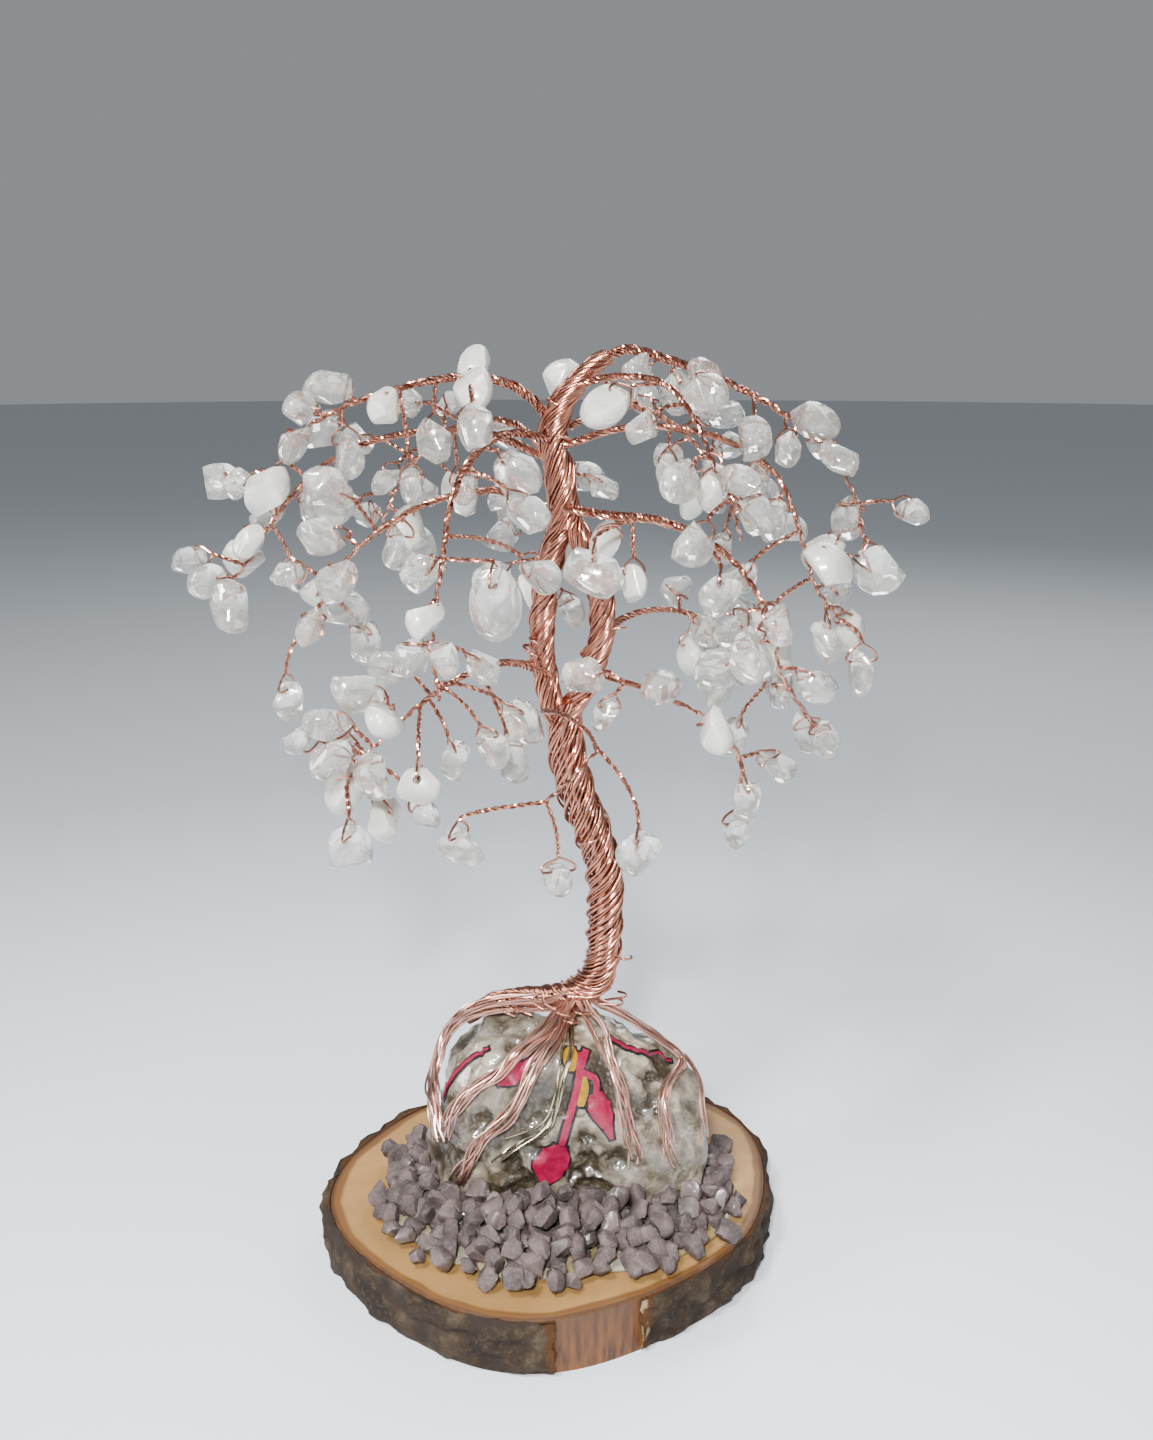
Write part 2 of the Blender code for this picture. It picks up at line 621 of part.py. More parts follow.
def stones_in(first, last):
    """(place, radius, turn) of each stone between two headings, in rows that pile up inwards."""
    found = []
    floor = SLICE_THICKNESS + GLUE_THICKNESS + 2 * CLEARANCE
    middle = (first + last) / 2
    rows = int(gravel_reach(middle) / GRAVEL_SPACING) + 1
    count = max(2, round(math.radians(last - first) * 30 * MM / GRAVEL_SPACING))
    for layer in range(2):
        for row in range(rows - layer):
            for i in range(count):
                angle = first + (last - first) * (i + 0.5 + 0.2 * (row % 2)) / count
                distance = (row + 0.3 + 0.4 * layer) * GRAVEL_SPACING
                if distance > gravel_reach(angle) - 0.5 * GRAVEL_SPACING * layer:
                    continue
                turn = angle * 0.9 + 5.0 * row + layer
                radius = STONE_RADIUS * (1 + 0.2 * math.sin(turn * 2.3))
                place = beside_rock(angle, distance)
                place.z = floor + radius * 0.5 + layer * GRAVEL_LAYER
                found.append((place, radius, turn))
    return found


def build_gravel(collection, cutters, roots):
    """Three banks of gravel. Each is stones that a bed of glued grit makes one piece."""
    floor = SLICE_THICKNESS + GLUE_THICKNESS + 2 * CLEARANCE
    for name, first, last in GRAVEL_SECTORS:
        start, end = first + BANK_GAP, last - BANK_GAP
        angles = [start + (end - start) * i / 8 for i in range(9)]
        outline = [beside_rock(angle, 0.9 * gravel_reach(angle)) for angle in angles]
        outline += [beside_rock(angle, -2 * MM) for angle in reversed(angles)]
        bed = slab(name + "_bed", outline, floor, floor + GRAVEL_BED, cutters, "mauve_gravel")
        bank = add_object(name, welded_mesh(name, bed), collection, "mauve_gravel")
        bank.data.transform(bed.matrix_basis)
        bpy.data.objects.remove(bed)
        stones = []
        for place, radius, turn in stones_in(first + STONE_GAP, last - STONE_GAP):
            half = (radius * 1.15, radius, radius * 0.85)
            mesh = stone_mesh(name + "_stone", half, turn, roughness=0.3)
            mesh.transform(Matrix.Translation(place))
            stones.append(helper(mesh, cutters))
        boolean(bank, stones, "UNION")
        gaps = [helper(rock_mesh("rock_gap", CLEARANCE * 1.5), cutters)]
        gaps += [wire_gap(line, radii, cutters) for line, radii in roots]
        boolean(bank, gaps, "DIFFERENCE")
        flatten_under(bank, floor)
        drop_crumbs(bank)


def drop_crumbs(made):
    """Keeps only the largest body of a mesh that a cut has left in several."""
    shape = bmesh.new()
    shape.from_mesh(made.data)
    bodies, waiting = [], set(shape.verts)
    while waiting:
        body, reached = set(), [waiting.pop()]
        while reached:
            vertex = reached.pop()
            body.add(vertex)
            near = {edge.other_vert(vertex) for edge in vertex.link_edges} & waiting
            waiting -= near
            reached.extend(near)
        bodies.append(body)
    bodies.sort(key=len)
    for body in bodies[:-1]:
        bmesh.ops.delete(shape, geom=list(body), context="VERTS")
    shape.to_mesh(made.data)
    shape.free()


def flatten_under(made, floor):
    """Cuts off whatever of a mesh lies under a level."""
    shape = bmesh.new()
    shape.from_mesh(made.data)
    everything = shape.verts[:] + shape.edges[:] + shape.faces[:]
    bmesh.ops.bisect_plane(shape, geom=everything, plane_co=UP * floor, plane_no=-UP,
                           clear_outer=True)
    bmesh.ops.holes_fill(shape, edges=[edge for edge in shape.edges if edge.is_boundary])
    shape.to_mesh(made.data)
    shape.free()


# Wire work


def direction_of(heading, lift):
    """The direction with this heading and this height over the ground, both in degrees."""
    heading, lift = math.radians(heading), math.radians(lift)
    return Vector((math.cos(heading) * math.cos(lift), math.sin(heading) * math.cos(lift),
                   math.sin(lift)))


def root_line(root):
    """A root's line over the rock, and its radii from the trunk down to the gravel."""
    turns = curve_through([Vector((heading, lift, 0)) for heading, lift in root.route])
    points = []
    for i, turn in enumerate(turns):
        thickness = leaning(i / (len(turns) - 1), root.radius, 0.5 * root.radius) * MM
        points.append(rock_point(direction_of(turn.x, turn.y), thickness + 2 * CLEARANCE))
    return spaced(points, ROOT_STEP), [share * root.radius * MM for share in (1, 0.75, 0.5)]


def build_roots(collection, cutters):
    """The roots, each cut back from the trunk and from those before it."""
    placed = []
    for root in ROOTS:
        line, radii = root_line(root)
        mesh = wire_mesh(root.name, line, radii, fineness=1)
        made = add_object(root.name, mesh, collection, root.wire)
        gaps = [rope_gap(ROPES[0], cutters)]
        gaps += [wire_gap(other, other_radii, cutters) for other, other_radii in placed]
        boolean(made, gaps, "DIFFERENCE")
        drop_crumbs(made)
        placed.append((line, radii))
    return placed


def build_ropes(collection, cutters, section):
    """The trunk's ropes. Each is cut back from those before it, so that they only meet."""
    for i, rope in enumerate(ROPES):
        line = smooth(rope.route, ROPE_STEP)
        radii = [r * MM for r in rope.radii]
        mesh = wire_mesh(rope.name, line, radii, section=section, pitch=ROPE_PITCH)
        made = add_object(rope.name, mesh, collection, "rose_wire")
        gaps = [rope_gap(before, cutters) for before in ROPES[:i]]
        gaps.append(helper(rock_mesh("rock_gap", 1.5 * CLEARANCE), cutters))
        boolean(made, gaps, "DIFFERENCE")
        drop_crumbs(made)


def rope_gap(rope, cutters):
    return wire_gap(smooth(rope.route, ROPE_STEP), [r * MM for r in rope.radii], cutters)


def wire_gap(line, radii, cutters):
    """A cutter that is fatter than a wire or a rope by the air that is left round it."""
    wider = [(radius + CLEARANCE) * FACET_ALLOWANCE for radius in radii]
    before = line[0] + (line[0] - line[1]).normalized() * CLEARANCE
    beyond = line[-1] + (line[-1] - line[-2]).normalized() * CLEARANCE
    return helper(wire_mesh("wire_gap", [before, *line, beyond], wider, fineness=3), cutters)


def branch_parts(branch):
    """A branch's line cut into its stem and the rest, with the stem's share of the points."""
    line = branch_line(branch)
    split = max(2, round(branch.stem * (len(line) - 1)))
    thick, thin = branch.radius * MM, 0.55 * branch.radius * MM
    change = leaning(split / (len(line) - 1), thick, thin)
    stem_end = line[split] - (line[split] - line[split - 1]).normalized() * CLEARANCE
    return line[:split] + [stem_end], [thick, change], line[split:], [change, thin]


def build_stem(branch, collection, cutters):
    """The bare twisted part of a branch, cut back from the trunk that it leaves."""
    line, radii, _, _ = branch_parts(branch)
    mesh = wire_mesh("stem_" + branch.name, line, radii, fineness=1)
    made = add_object("stem_" + branch.name, mesh, collection, "rose_wire")
    boolean(made, [rope_gap(rope, cutters) for rope in ROPES], "DIFFERENCE")
    drop_crumbs(made)


def loop_points(pendant):
    """The wire loop through a pendant's hole: across, up both sides and together at the top."""
    axis = Vector((math.cos(math.radians(pendant.heading)),
                   math.sin(math.radians(pendant.heading)), 0))
    half = (pendant.size[2] / 2 + 0.8) * MM
    top = loop_height(pendant.size)
    corner = 0.6 * MM
    shape = ((-half + corner, 0), (half - corner, 0), (half, corner), (half * 0.9, top * 0.6),
             (0.4 * MM, top), (-0.4 * MM, top), (-half * 0.9, top * 0.6), (-half, corner))
    centre = Vector(pendant.hinge) * MM
    return [centre + axis * across + UP * above for across, above in shape]


def build_spray(branch, twigs, collection, cutters):
    """The outer part of a branch with its twigs, the chips joined to them and the wire loops."""
    _, _, line, radii = branch_parts(branch)
    name = "spray_" + branch.name
    made = add_object(name, wire_mesh(name, line, radii), collection, "quartz_chip")
    parts = []
    for twig in twigs:
        wire = twig_line(twig.start, twig.middle, twig.chip)
        parts.append(helper(wire_mesh("twig", wire, [TWIG_RADIUS] * 2), cutters))
        chip = stone_mesh("chip", twig.size, twig.turn)
        chip.transform(Matrix.Translation(twig.chip))
        parts.append(helper(chip, cutters))
    for pendant in PENDANTS:
        if pendant.branch == branch.name:
            wire = pendant_twig(pendant)
            parts.append(helper(wire_mesh("twig", wire, [TWIG_RADIUS] * 2), cutters))
            loop = wire_mesh("loop", loop_points(pendant), [LOOP_RADIUS] * 2, cyclic=True)
            parts.append(helper(loop, cutters))
    boolean(made, parts, "UNION")


def build_pendant(pendant, collection, cutters):
    """A chip with its hole, hanging under the hole's axis. Its origin is on that axis."""
    length, width, thickness = (side * MM / 2 for side in pendant.size)
    chip = stone_mesh(pendant.name, (1, 1, 1), 0, faces_level=2, roughness=0.1)
    for vertex in chip.vertices:
        x, y, z = vertex.co
        vertex.co = (x * thickness, y * width, z * length - HOLE_SHARE * 2 * length)
    made = add_object(pendant.name, chip, collection, "quartz_chip")
    drill = bmesh.new()
    bmesh.ops.create_cone(drill, cap_ends=True, segments=8, radius1=HOLE_RADIUS,
                          radius2=HOLE_RADIUS, depth=4 * thickness)
    hole = bpy.data.meshes.new("drill")
    drill.to_mesh(hole)
    drill.free()
    hole.transform(Matrix.Rotation(math.pi / 2, 4, "Y"))
    boolean(made, [helper(hole, cutters)], "DIFFERENCE")
    made.location = Vector(pendant.hinge) * MM
    made.rotation_euler.z = math.radians(pendant.heading)


def main():
    clear_scene()
    make_materials()
    tree = new_collection("wire_tree")
    cutters = new_collection("cutters")
    section = rope_section(cutters)
    build_slice(tree)
    build_bark(tree)
    build_glue(tree)
    build_rock(tree)
    roots = build_roots(tree, cutters)
    build_gravel(tree, cutters, roots)
    build_ropes(tree, cutters, section)
    twigs = place_twigs()
    for branch in BRANCHES:
        build_stem(branch, tree, cutters)
        build_spray(branch, [t for t in twigs if t.branch == branch.name], tree, cutters)
    for pendant in PENDANTS:
        build_pendant(pendant, tree, cutters)
    for made in tree.objects:
        if made.type == "MESH":
            made.data.shade_smooth()
            made.data.set_sharp_from_angle(angle=math.radians(40))


main()
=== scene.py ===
"""Looks for a gemstone wire tree on a slice of wood.

It makes the twisted wires, the stone chips, the painted rock, the gravel and the slice of wood
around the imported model, whose solids stay in place for collision. Numbers in the tables are in
millimetres and degrees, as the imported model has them, and everything else is in metres.
"""

import functools
import math
import random
from collections import namedtuple

import bmesh
import bpy
import numpy as np
from mathutils import Matrix, Vector, noise
from mathutils.bvhtree import BVHTree
from mathutils.kdtree import KDTree


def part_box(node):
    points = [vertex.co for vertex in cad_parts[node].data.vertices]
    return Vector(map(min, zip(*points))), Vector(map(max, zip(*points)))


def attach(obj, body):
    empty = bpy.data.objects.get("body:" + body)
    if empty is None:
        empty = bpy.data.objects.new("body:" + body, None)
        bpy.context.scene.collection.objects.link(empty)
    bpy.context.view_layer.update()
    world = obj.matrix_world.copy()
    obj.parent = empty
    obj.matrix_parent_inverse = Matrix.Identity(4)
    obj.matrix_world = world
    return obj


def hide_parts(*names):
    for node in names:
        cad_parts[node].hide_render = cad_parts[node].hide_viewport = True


bl_info = {
    "name": "Gemstone Wire Tree",
    "version": (1, 0, 0),
    "blender": (4, 5, 0),
    "location": "View3D > Sidebar > Wire Tree",
    "description": "Twists a wire tree with stone chips and sets it on a rock and a slice of wood",
    "category": "Object",
}

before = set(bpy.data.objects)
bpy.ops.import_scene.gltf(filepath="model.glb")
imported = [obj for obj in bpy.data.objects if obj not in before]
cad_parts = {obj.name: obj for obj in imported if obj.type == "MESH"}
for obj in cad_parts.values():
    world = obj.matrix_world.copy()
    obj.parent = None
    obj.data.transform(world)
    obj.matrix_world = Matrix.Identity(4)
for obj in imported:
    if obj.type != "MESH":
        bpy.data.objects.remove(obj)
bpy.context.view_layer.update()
noise.seed_set(1)  # without it noise_vector would give another shape in each run

MM = 0.001
CLEARANCE = 0.3 * MM
GOLDEN_ANGLE = math.radians(137.5)
GOLDEN_SHARE = 0.618034
UP = Vector((0, 0, 1))
TREE = "tree"  # the body of everything but the hanging chips

# Base
SLICE_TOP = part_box("wood_slice")[1].z
SLICE_RADIUS = 45.6 * MM
# The waves of the slice's rim: how many go round, their height and where one has its crest
SLICE_LOBES = ((1, 2.8 * MM, 106), (2, 1.9 * MM, 37), (3, 1.2 * MM, 36), (5, 0.8 * MM, 44))
BARK_THICKNESS = 2.4 * MM
BARK_CUTS = ((0, 560), (2, 20), (1, 4))  # its length, height and thickness, as axes of a cube
BARE_FROM, BARE_TO = -90, -66
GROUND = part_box("feature_rock")[0].z
ROCK_FOOT = Vector((2.5 * MM, 6 * MM, GROUND))
ROCK_HALF = Vector((27.5, 18.5, 34.5)) * MM
ROCK_SQUARENESS = 3.4
ROCK_SLOPE = 0.12
ROCK_BACK_SLOPE = 0.35
ROCK_LUMP = 0.08
# How far the gravel reaches from the rock, in millimetres, at headings in degrees
GRAVEL_FROM, GRAVEL_TO = 150, 375
GRAVEL_REACH = ((150, 5), (180, 8), (225, 15), (258, 24), (290, 19), (320, 9), (345, 4), (375, 3))
GRAVEL_LAYERS, GRAVEL_ROWS = 4, 9
GRAVEL_SPACING = 1.68  # between the middles of stones, against half a usual stone's width
GRAVEL_SECTORS = (("gravel_left", 150, 228), ("gravel_front", 228, 300), ("gravel_right", 300, 375))

# Wire work
BRANCH_STEP = 4 * MM
ROOT_STEP = 3 * MM
TWIG_RADIUS = 0.45 * MM
TWIG_REACH = 11 * MM
HOLE_RADIUS = 0.75 * MM
WIRE_STEP = 0.7 * MM
TRUNK_LIFT = 65  # a root that starts higher over the rock than this comes out of the trunk
THIN_ROOT = 0.7  # millimetres: a thinner root has one strand of four wires
STRAND_PITCH = 24 * MM
TWIG_PITCH = 2.7 * MM
HANGING_PITCH = 2.9 * MM
ROPE_WIRE = 1.2  # a rope's wires are this much thicker than a twig's
CROSSING_WIRES = 4  # of a rope's wires, those that lie over the others
CROSSING_PACE = 0.86  # how fast they go round it, against the others
CHIP_GROWTH = 1.06  # a chip with flats is this much longer than the ball of the same room
HOLE_SHARE = 0.26  # of a chip's length, from its middle up to its hole
CHIP_ROOM = 0.93  # of half a chip's length, the ball that is kept free for it
CHIP_HALF = (3.9 * MM, 3.2 * MM, 2.5 * MM)  # half of a chip's length, width and thickness

Rope = namedtuple("Rope", "name route radii pitches wires")
Branch = namedtuple("Branch", "name route radius stem clear milky more")
Pendant = namedtuple("Pendant", "name branch leaves hinge heading size")
Root = namedtuple("Root", "name route radius wire")
Twig = namedtuple("Twig", "branch start middle chip turn size number")

# A rope's pitches are the lengths in which its wires go once round, from its foot to its top, and
# its wires lie side by side in this many groups of this many.
ROPES = (
    Rope("trunk_lower",
         ((1.5, 7, 49.5), (5, 5, 52), (8.4, 3.5, 57), (9.4, 3, 66), (9.4, 3, 77), (7, 3, 86),
          (3.6, 3, 95), (1.8, 3, 104), (1.2, 3, 111.5)), (3.3, 3.4, 3.6, 3.7, 3.3),
         (13, 14, 16, 18, 20, 26, 34), (4, 5)),
    Rope("limb_left",
         ((0.2, 3, 109), (-2.0, 3, 117), (-2.4, 3, 126), (-1.2, 3, 136), (1.2, 3, 145)),
         (2.3, 2.4, 2.2), (22, 17, 20), (4, 6)),
    Rope("limb_right",
         ((2.6, 3, 109), (6.6, 3, 117), (8.8, 3, 126), (7.2, 3, 137), (2.6, 3, 146)),
         (2.3, 2.4, 2.2), (24, 18, 20), (4, 6)),
    Rope("trunk_upper",
         ((1.8, 3, 144), (1.2, 3, 152), (-0.2, 3, 160), (1.4, 3, 166), (5.2, 3, 171),
          (9.5, 3.4, 174.5)), (2.9, 2.8, 2.6, 2.0, 1.5), (20, 24, 22, 16), (4, 7)),
)

# The wires that wrap the trunk's foot and lie over the rock to the left of it
SADDLE = Rope("saddle", ((7.5, 3.4, 54.5), (4, 4, 52), (-1, 5, 50.6), (-7, 6, 50), (-13, 6, 48.8),
                         (-18, 5.5, 45.5)), (2.7, 2.5, 2.2, 1.9, 1.4), (12, 13, 15, 20), (3, 5))

# A branch is bare for its stem's share of its length. Its chips stand at the places given for the
# clear and the milky ones, and more of them grow from it.
BRANCHES = (
    Branch("crown_left",
           ((-1, 3, 163.5), (-5, 2, 168), (-11, 0, 170.5), (-20, -2, 170.5), (-29, -5, 168.3),
            (-37, -8, 165.5), (-45, -11, 160), (-48.5, -13, 151)), 1.2, 0.22,
           ((-13, -9, 163), (-21, 2, 160), (-25, -3, 152), (-38, -9, 169), (-42, -11, 166),
            (-40, -9, 162), (-35, -8, 158), (-44, -14, 160)),
           ((-14, -4, 169), (-14, -1, 173), (-29, -7, 166), (-48, -15, 153)), 2),
    Branch("crown_right",
           ((9, 3.4, 174), (13, 4, 175.6), (24, 3, 172.5), (33.5, 1, 168.5), (42, 0, 163.5),
            (49, -1, 157.5), (54, -1, 149), (56, 0, 140)), 1.2, 0.12,
           ((15, -1, 172), (22, 6, 168), (27, 2, 171), (26, -8, 168), (34, -8, 161),
            (40, -9, 159), (46, 0, 163), (50, -4, 157), (48, 6, 159), (53, 2, 146), (58, 0, 137)),
           (), 2),
    Branch("right_front",
           ((4, 2, 169.5), (11, -2, 171), (19, -8, 170), (24, -13, 164), (27, -18, 156.5),
            (31, -21, 150)), 0.9, 0.34,
           ((15, -16, 163), (21, -23, 155), (31, -22, 155), (34, -17, 149), (23, -24, 145)),
           ((27, -13, 152), (9, -7, 166)), 0),
    Branch("right_outer",
           ((2, 1, 159), (14, -3, 162.5), (28, -7, 161), (38, -10, 155), (42, -13, 146),
            (45, -14, 136), (50, -13, 130)), 0.9, 0.36,
           ((36, -2, 153), (38, -8, 147), (47, -17, 127)),
           ((47, -15, 140), (53, -9, 127)), 4),
    Branch("right_middle",
           ((2, 1, 148), (9, -7, 147.5), (18, -13, 147.3), (27, -19, 144), (33, -23, 138),
            (37, -24, 130), (38, -23, 123), (42, -21, 117), (46, -18, 111)), 1.2, 0.16,
           ((37, -29, 132), (32, -29, 128), (31, -16, 129), (47, -19, 110), (28, -20, 123)),
           ((9, -2, 142), (14, -12, 136)), 4),
    Branch("right_low",
           ((3, 0, 117.5), (8, -10, 119.5), (15, -19, 119.5), (22, -24, 117.5), (29, -25, 113.5),
            (32.5, -23, 106)), 0.8, 0.34,
           ((5, -14, 120), (9, -14, 113), (18, -25, 121), (39, -20, 106), (33, -25, 101)),
           ((27, -28, 114),), 0),
    Branch("left_droop",
           ((-1, 1, 160), (-8, -6, 161.5), (-14, -13, 157.5), (-17, -19, 150.5), (-18, -22, 143),
            (-19.5, -23.5, 134), (-20, -24.5, 126), (-19, -25, 118.5)), 1.0, 0.2,
           ((-6, -12, 155), (-4, -14, 149), (-15, -12, 153), (-22, -18, 139), (-18, -27, 126),
            (-24, -20, 125), (-2, -15, 138), (-10, -24, 110), (-5, -18, 113)),
           ((-21, -27, 133),), 2),
    Branch("left_outer",
           ((-0.5, 1, 147), (-10, -4, 151.5), (-21, -8, 150), (-29, -12, 146), (-36, -15, 140),
            (-41, -16, 131)), 1.0, 0.34,
           ((-38, -14, 153), (-39, -16, 145), (-46, -12, 138), (-36, -21, 138), (-41, -20, 130),
            (-36, -13, 132), (-27, -8, 142)),
           (), 2),
    Branch("far_left",
           ((-0.5, 4, 156), (-13, 4, 161), (-29, 2, 160.5), (-41, -1, 155.5), (-49, -4, 147),
            (-54, -6, 139), (-59, -7, 134)), 1.0, 0.36,
           ((-61, -8, 136), (-56, -11, 132), (-52, 3, 146)),
           ((-53, -10, 143),), 5),
    Branch("left_low",
           ((-1, 1, 117), (-8, -6, 121), (-16, -13, 120), (-24, -19, 115.5), (-31, -24, 109.5),
            (-35, -26, 104)), 1.0, 0.3,
           ((-29, -16, 122), (-33, -23, 120), (-38, -24, 115), (-44, -20, 110), (-36, -29, 111),
            (-30, -32, 107), (-22, -27, 98), (-7, -14, 105), (-17, -18, 106)),
           ((-36, -22, 102), (-28, -23, 116)), 2),
    Branch("front_sprig",
           ((-0.5, 0, 108), (-2, -8, 112.5), (3, -19, 114), (7.5, -28, 111.5), (4, -32, 108),
            (-1, -33.5, 103.5)), 0.7, 0.34, (), (), 0),
    Branch("back_left",
           ((-0.5, 4, 157), (-9, 14, 162.5), (-21, 26, 160), (-31, 34, 150), (-37, 39, 138)),
           1.0, 0.3, (), (), 12),
    Branch("back_right",
           ((3, 4, 162), (11, 15, 165.5), (23, 27, 161), (33, 35, 150), (38, 39, 137)),
           1.0, 0.3, (), ((2, 12, 170),), 11),
    Branch("back_middle",
           ((2, 5, 148), (3, 17, 153), (1, 31, 150), (-2, 41, 139), (-3, 45, 126)),
           1.0, 0.34, (), (), 11),
    Branch("back_low",
           ((5, 5, 120), (14, 13, 126), (26, 21, 125), (37, 25, 117), (44, 25, 106)),
           1.0, 0.34, (), (), 11),
)

# A chip that hangs clear: its branch, how far along the branch its twig leaves, the middle of its
# hole, the heading of the hole's axis in degrees, and its length, width and thickness.
PENDANTS = (
    Pendant("pendant_front_right", "front_sprig", 0.70, (14.3, -32, 96), 80, (8.2, 7.8, 4.6)),
    Pendant("pendant_front_middle", "front_sprig", 1.00, (1.0, -34, 91.5), 15, (5.6, 7.2, 4.6)),
    Pendant("pendant_front_left", "front_sprig", 1.00, (-15.5, -33.5, 97.5), 60, (6.6, 9.0, 4.4)),
    Pendant("pendant_low_left", "left_low", 1.00, (-34.5, -28, 95.5), 75, (8.4, 8.0, 4.8)),
    Pendant("pendant_milky_left", "left_low", 0.62, (-22.5, -27.5, 106), 85, (6.6, 7.6, 4.2)),
    Pendant("pendant_low_right", "right_low", 1.00, (31.8, -22, 96), 20, (6.2, 7.4, 4.2)),
    Pendant("pendant_outer_left", "left_outer", 1.00, (-46.5, -15, 118), 70, (7.4, 6.0, 4.0)),
    Pendant("pendant_outer_right", "right_outer", 1.00, (54, -12, 122.5), 10, (8.4, 6.2, 4.4)),
    Pendant("pendant_big_left", "left_droop", 0.62, (-9.5, -25, 138), 78, (12.5, 9.0, 5.2)),
    Pendant("pendant_big_middle", "right_middle", 0.24, (7.0, -16, 141), 84, (9.0, 10.5, 5.2)),
    Pendant("pendant_right", "right_middle", 0.38, (27.5, -26, 138.5), 82, (7.6, 7.2, 4.6)),
)

# A root's route is headings round the rock, 270 to the front, and heights over its foot, both in
# degrees. The two that start away from the trunk part from the root before them.
ROOTS = (
    Root("root_left", ((235, 80), (204, 70), (192, 55), (184, 43), (193, 34), (212, 27), (222, 18)),
         1.7, "rose_wire"),
    Root("root_middle_left", ((254, 74), (247, 56), (240, 42), (231, 34), (226, 27), (224, 18)),
         1.1, "rose_wire"),
    Root("root_front_left", ((268, 74), (258, 52), (250, 34), (241, 24), (232, 12), (227, 5)),
         1.2, "rose_wire"),
    Root("root_front_gold", ((276, 70), (270, 50), (264, 33), (254, 24), (243, 16)),
         0.6, "gold_wire"),
    Root("root_front_right", ((296, 74), (292, 54), (293, 38), (294, 28), (295, 18)),
         1.3, "rose_wire"),
    Root("root_right", ((330, 78), (337, 62), (346, 47), (320, 41), (307, 32), (308, 17)),
         1.1, "rose_wire"),
    Root("root_far_right", ((356, 44), (344, 38), (332, 30), (326, 19)), 0.6, "rose_wire"),
    Root("root_back", ((80, 74), (74, 55), (62, 42), (58, 28), (64, 16)), 1.5, "rose_wire"),
)

# The stage. The floor's colours, a painted pool of light paler near the tree, stand at distances
# from the tree, and each light has its place, its width and its power.
FLOOR_LIGHT_POOL = ((0.12, (0.66, 0.70, 0.75)), (0.34, (0.44, 0.47, 0.50)))
SKY_COLOUR, SKY_STRENGTH = (0.50, 0.53, 0.56, 1), 0.54
CAMERA_PLACE, CAMERA_TILT, CAMERA_LENS = (0.004, -0.266, 0.178), math.radians(90 - 14.6), 37
LIGHTS_AIM = Vector((0, 0, 0.09))
LIGHTS = (
    ("key_light", (-0.25, -0.45, 0.75), 0.14, 10.5),
    ("fill_light", (0.7, -0.4, 0.35), 0.4, 2.2),
    ("front_light", (-0.02, -0.32, 0.25), 0.025, 3.2),
    ("window_light", (-0.5, -0.15, 0.3), 0.15, 2.5),
    ("back_light", (0.25, 0.6, 0.6), 0.4, 4),
)


# Curves and how far apart things are


def curve_through(points):
    """Points close together on one smooth curve through these."""
    ends = [2 * points[0] - points[1], *points, 2 * points[-1] - points[-2]]
    dense = []
    for before, here, after, beyond in zip(ends, ends[1:], ends[2:], ends[3:]):
        for i in range(12):
            t = i / 12
            dense.append(0.5 * (2 * here + (after - before) * t
                                + (2 * before - 5 * here + 4 * after - beyond) * t ** 2
                                + (3 * here - before - 3 * after + beyond) * t ** 3))
    return [*dense, points[-1]]


def in_metres(route):
    return [Vector(point) * MM for point in route]


def evenly(points, step):
    """Evenly spaced points on the smooth curve through these."""
    return spaced(curve_through(points), step)


def smooth(route, step):
    """Evenly spaced points on the smooth curve through a route in millimetres."""
    return evenly(in_metres(route), step)


def spaced(points, step):
    """The same line with its points as near to a step apart as divides it evenly."""
    lengths = [(b - a).length for a, b in zip(points, points[1:])]
    count = max(2, round(sum(lengths) / step))
    found, walked, i = [points[0]], 0.0, 0
    for k in range(1, count):
        goal = sum(lengths) * k / count
        while walked + lengths[i] < goal:
            walked += lengths[i]
            i += 1
        found.append(points[i].lerp(points[i + 1], (goal - walked) / lengths[i]))
    return [*found, points[-1]]


def along(values, share):
    """The value at a share of the way through an evenly spaced list."""
    place = max(0.0, min(1.0, share)) * (len(values) - 1)
    i = min(int(place), len(values) - 2)
    return values[i] + (values[i + 1] - values[i]) * (place - i)


def leaning(share, before, after):
    """Eases from before to after as share goes from 0 to 1."""
    eased = share * share * (3 - 2 * share)
    return before + (after - before) * eased


class Room:
    """The room that is taken, as balls, so that a new twig or chip can be kept clear of it."""

    def __init__(self):
        self.centres = np.empty((0, 3))
        self.radii = np.empty(0)
        self.owners = np.empty(0, dtype="U40")

    def take(self, owner, points, radius):
        self.centres = np.vstack([self.centres, np.array(points, float)])
        self.radii = np.append(self.radii, [radius] * len(points))
        self.owners = np.append(self.owners, [owner] * len(points))

    def is_free(self, points, radius, ignoring=()):
        others = ~np.isin(self.owners, list(ignoring))
        gaps = np.linalg.norm(np.array(points, float)[:, None] - self.centres[others], axis=2)
        return bool((gaps > self.radii[others] + radius + CLEARANCE).all())


# Where the twigs and chips go


def branch_line(branch):
    return smooth(branch.route, BRANCH_STEP)


def twig_line(start, middle, end):
    return [start.lerp(middle, t).lerp(middle.lerp(end, t), t) for t in (0, 0.4, 0.75, 1)]


def loop_height(size):
    """How far above its hole a pendant's loop closes."""
    return (0.5 - HOLE_SHARE) * size[0] * MM + 1.1 * MM


def pendant_twig(pendant):
    """The line of a pendant's twig, from its branch down to the top of its wire loop."""
    branch = next(b for b in BRANCHES if b.name == pendant.branch)
    start = along(branch_line(branch), pendant.leaves)
    end = Vector(pendant.hinge) * MM + UP * loop_height(pendant.size)
    return twig_line(start, Vector((end.x, end.y, 0.5 * start.z + 0.5 * end.z)), end)


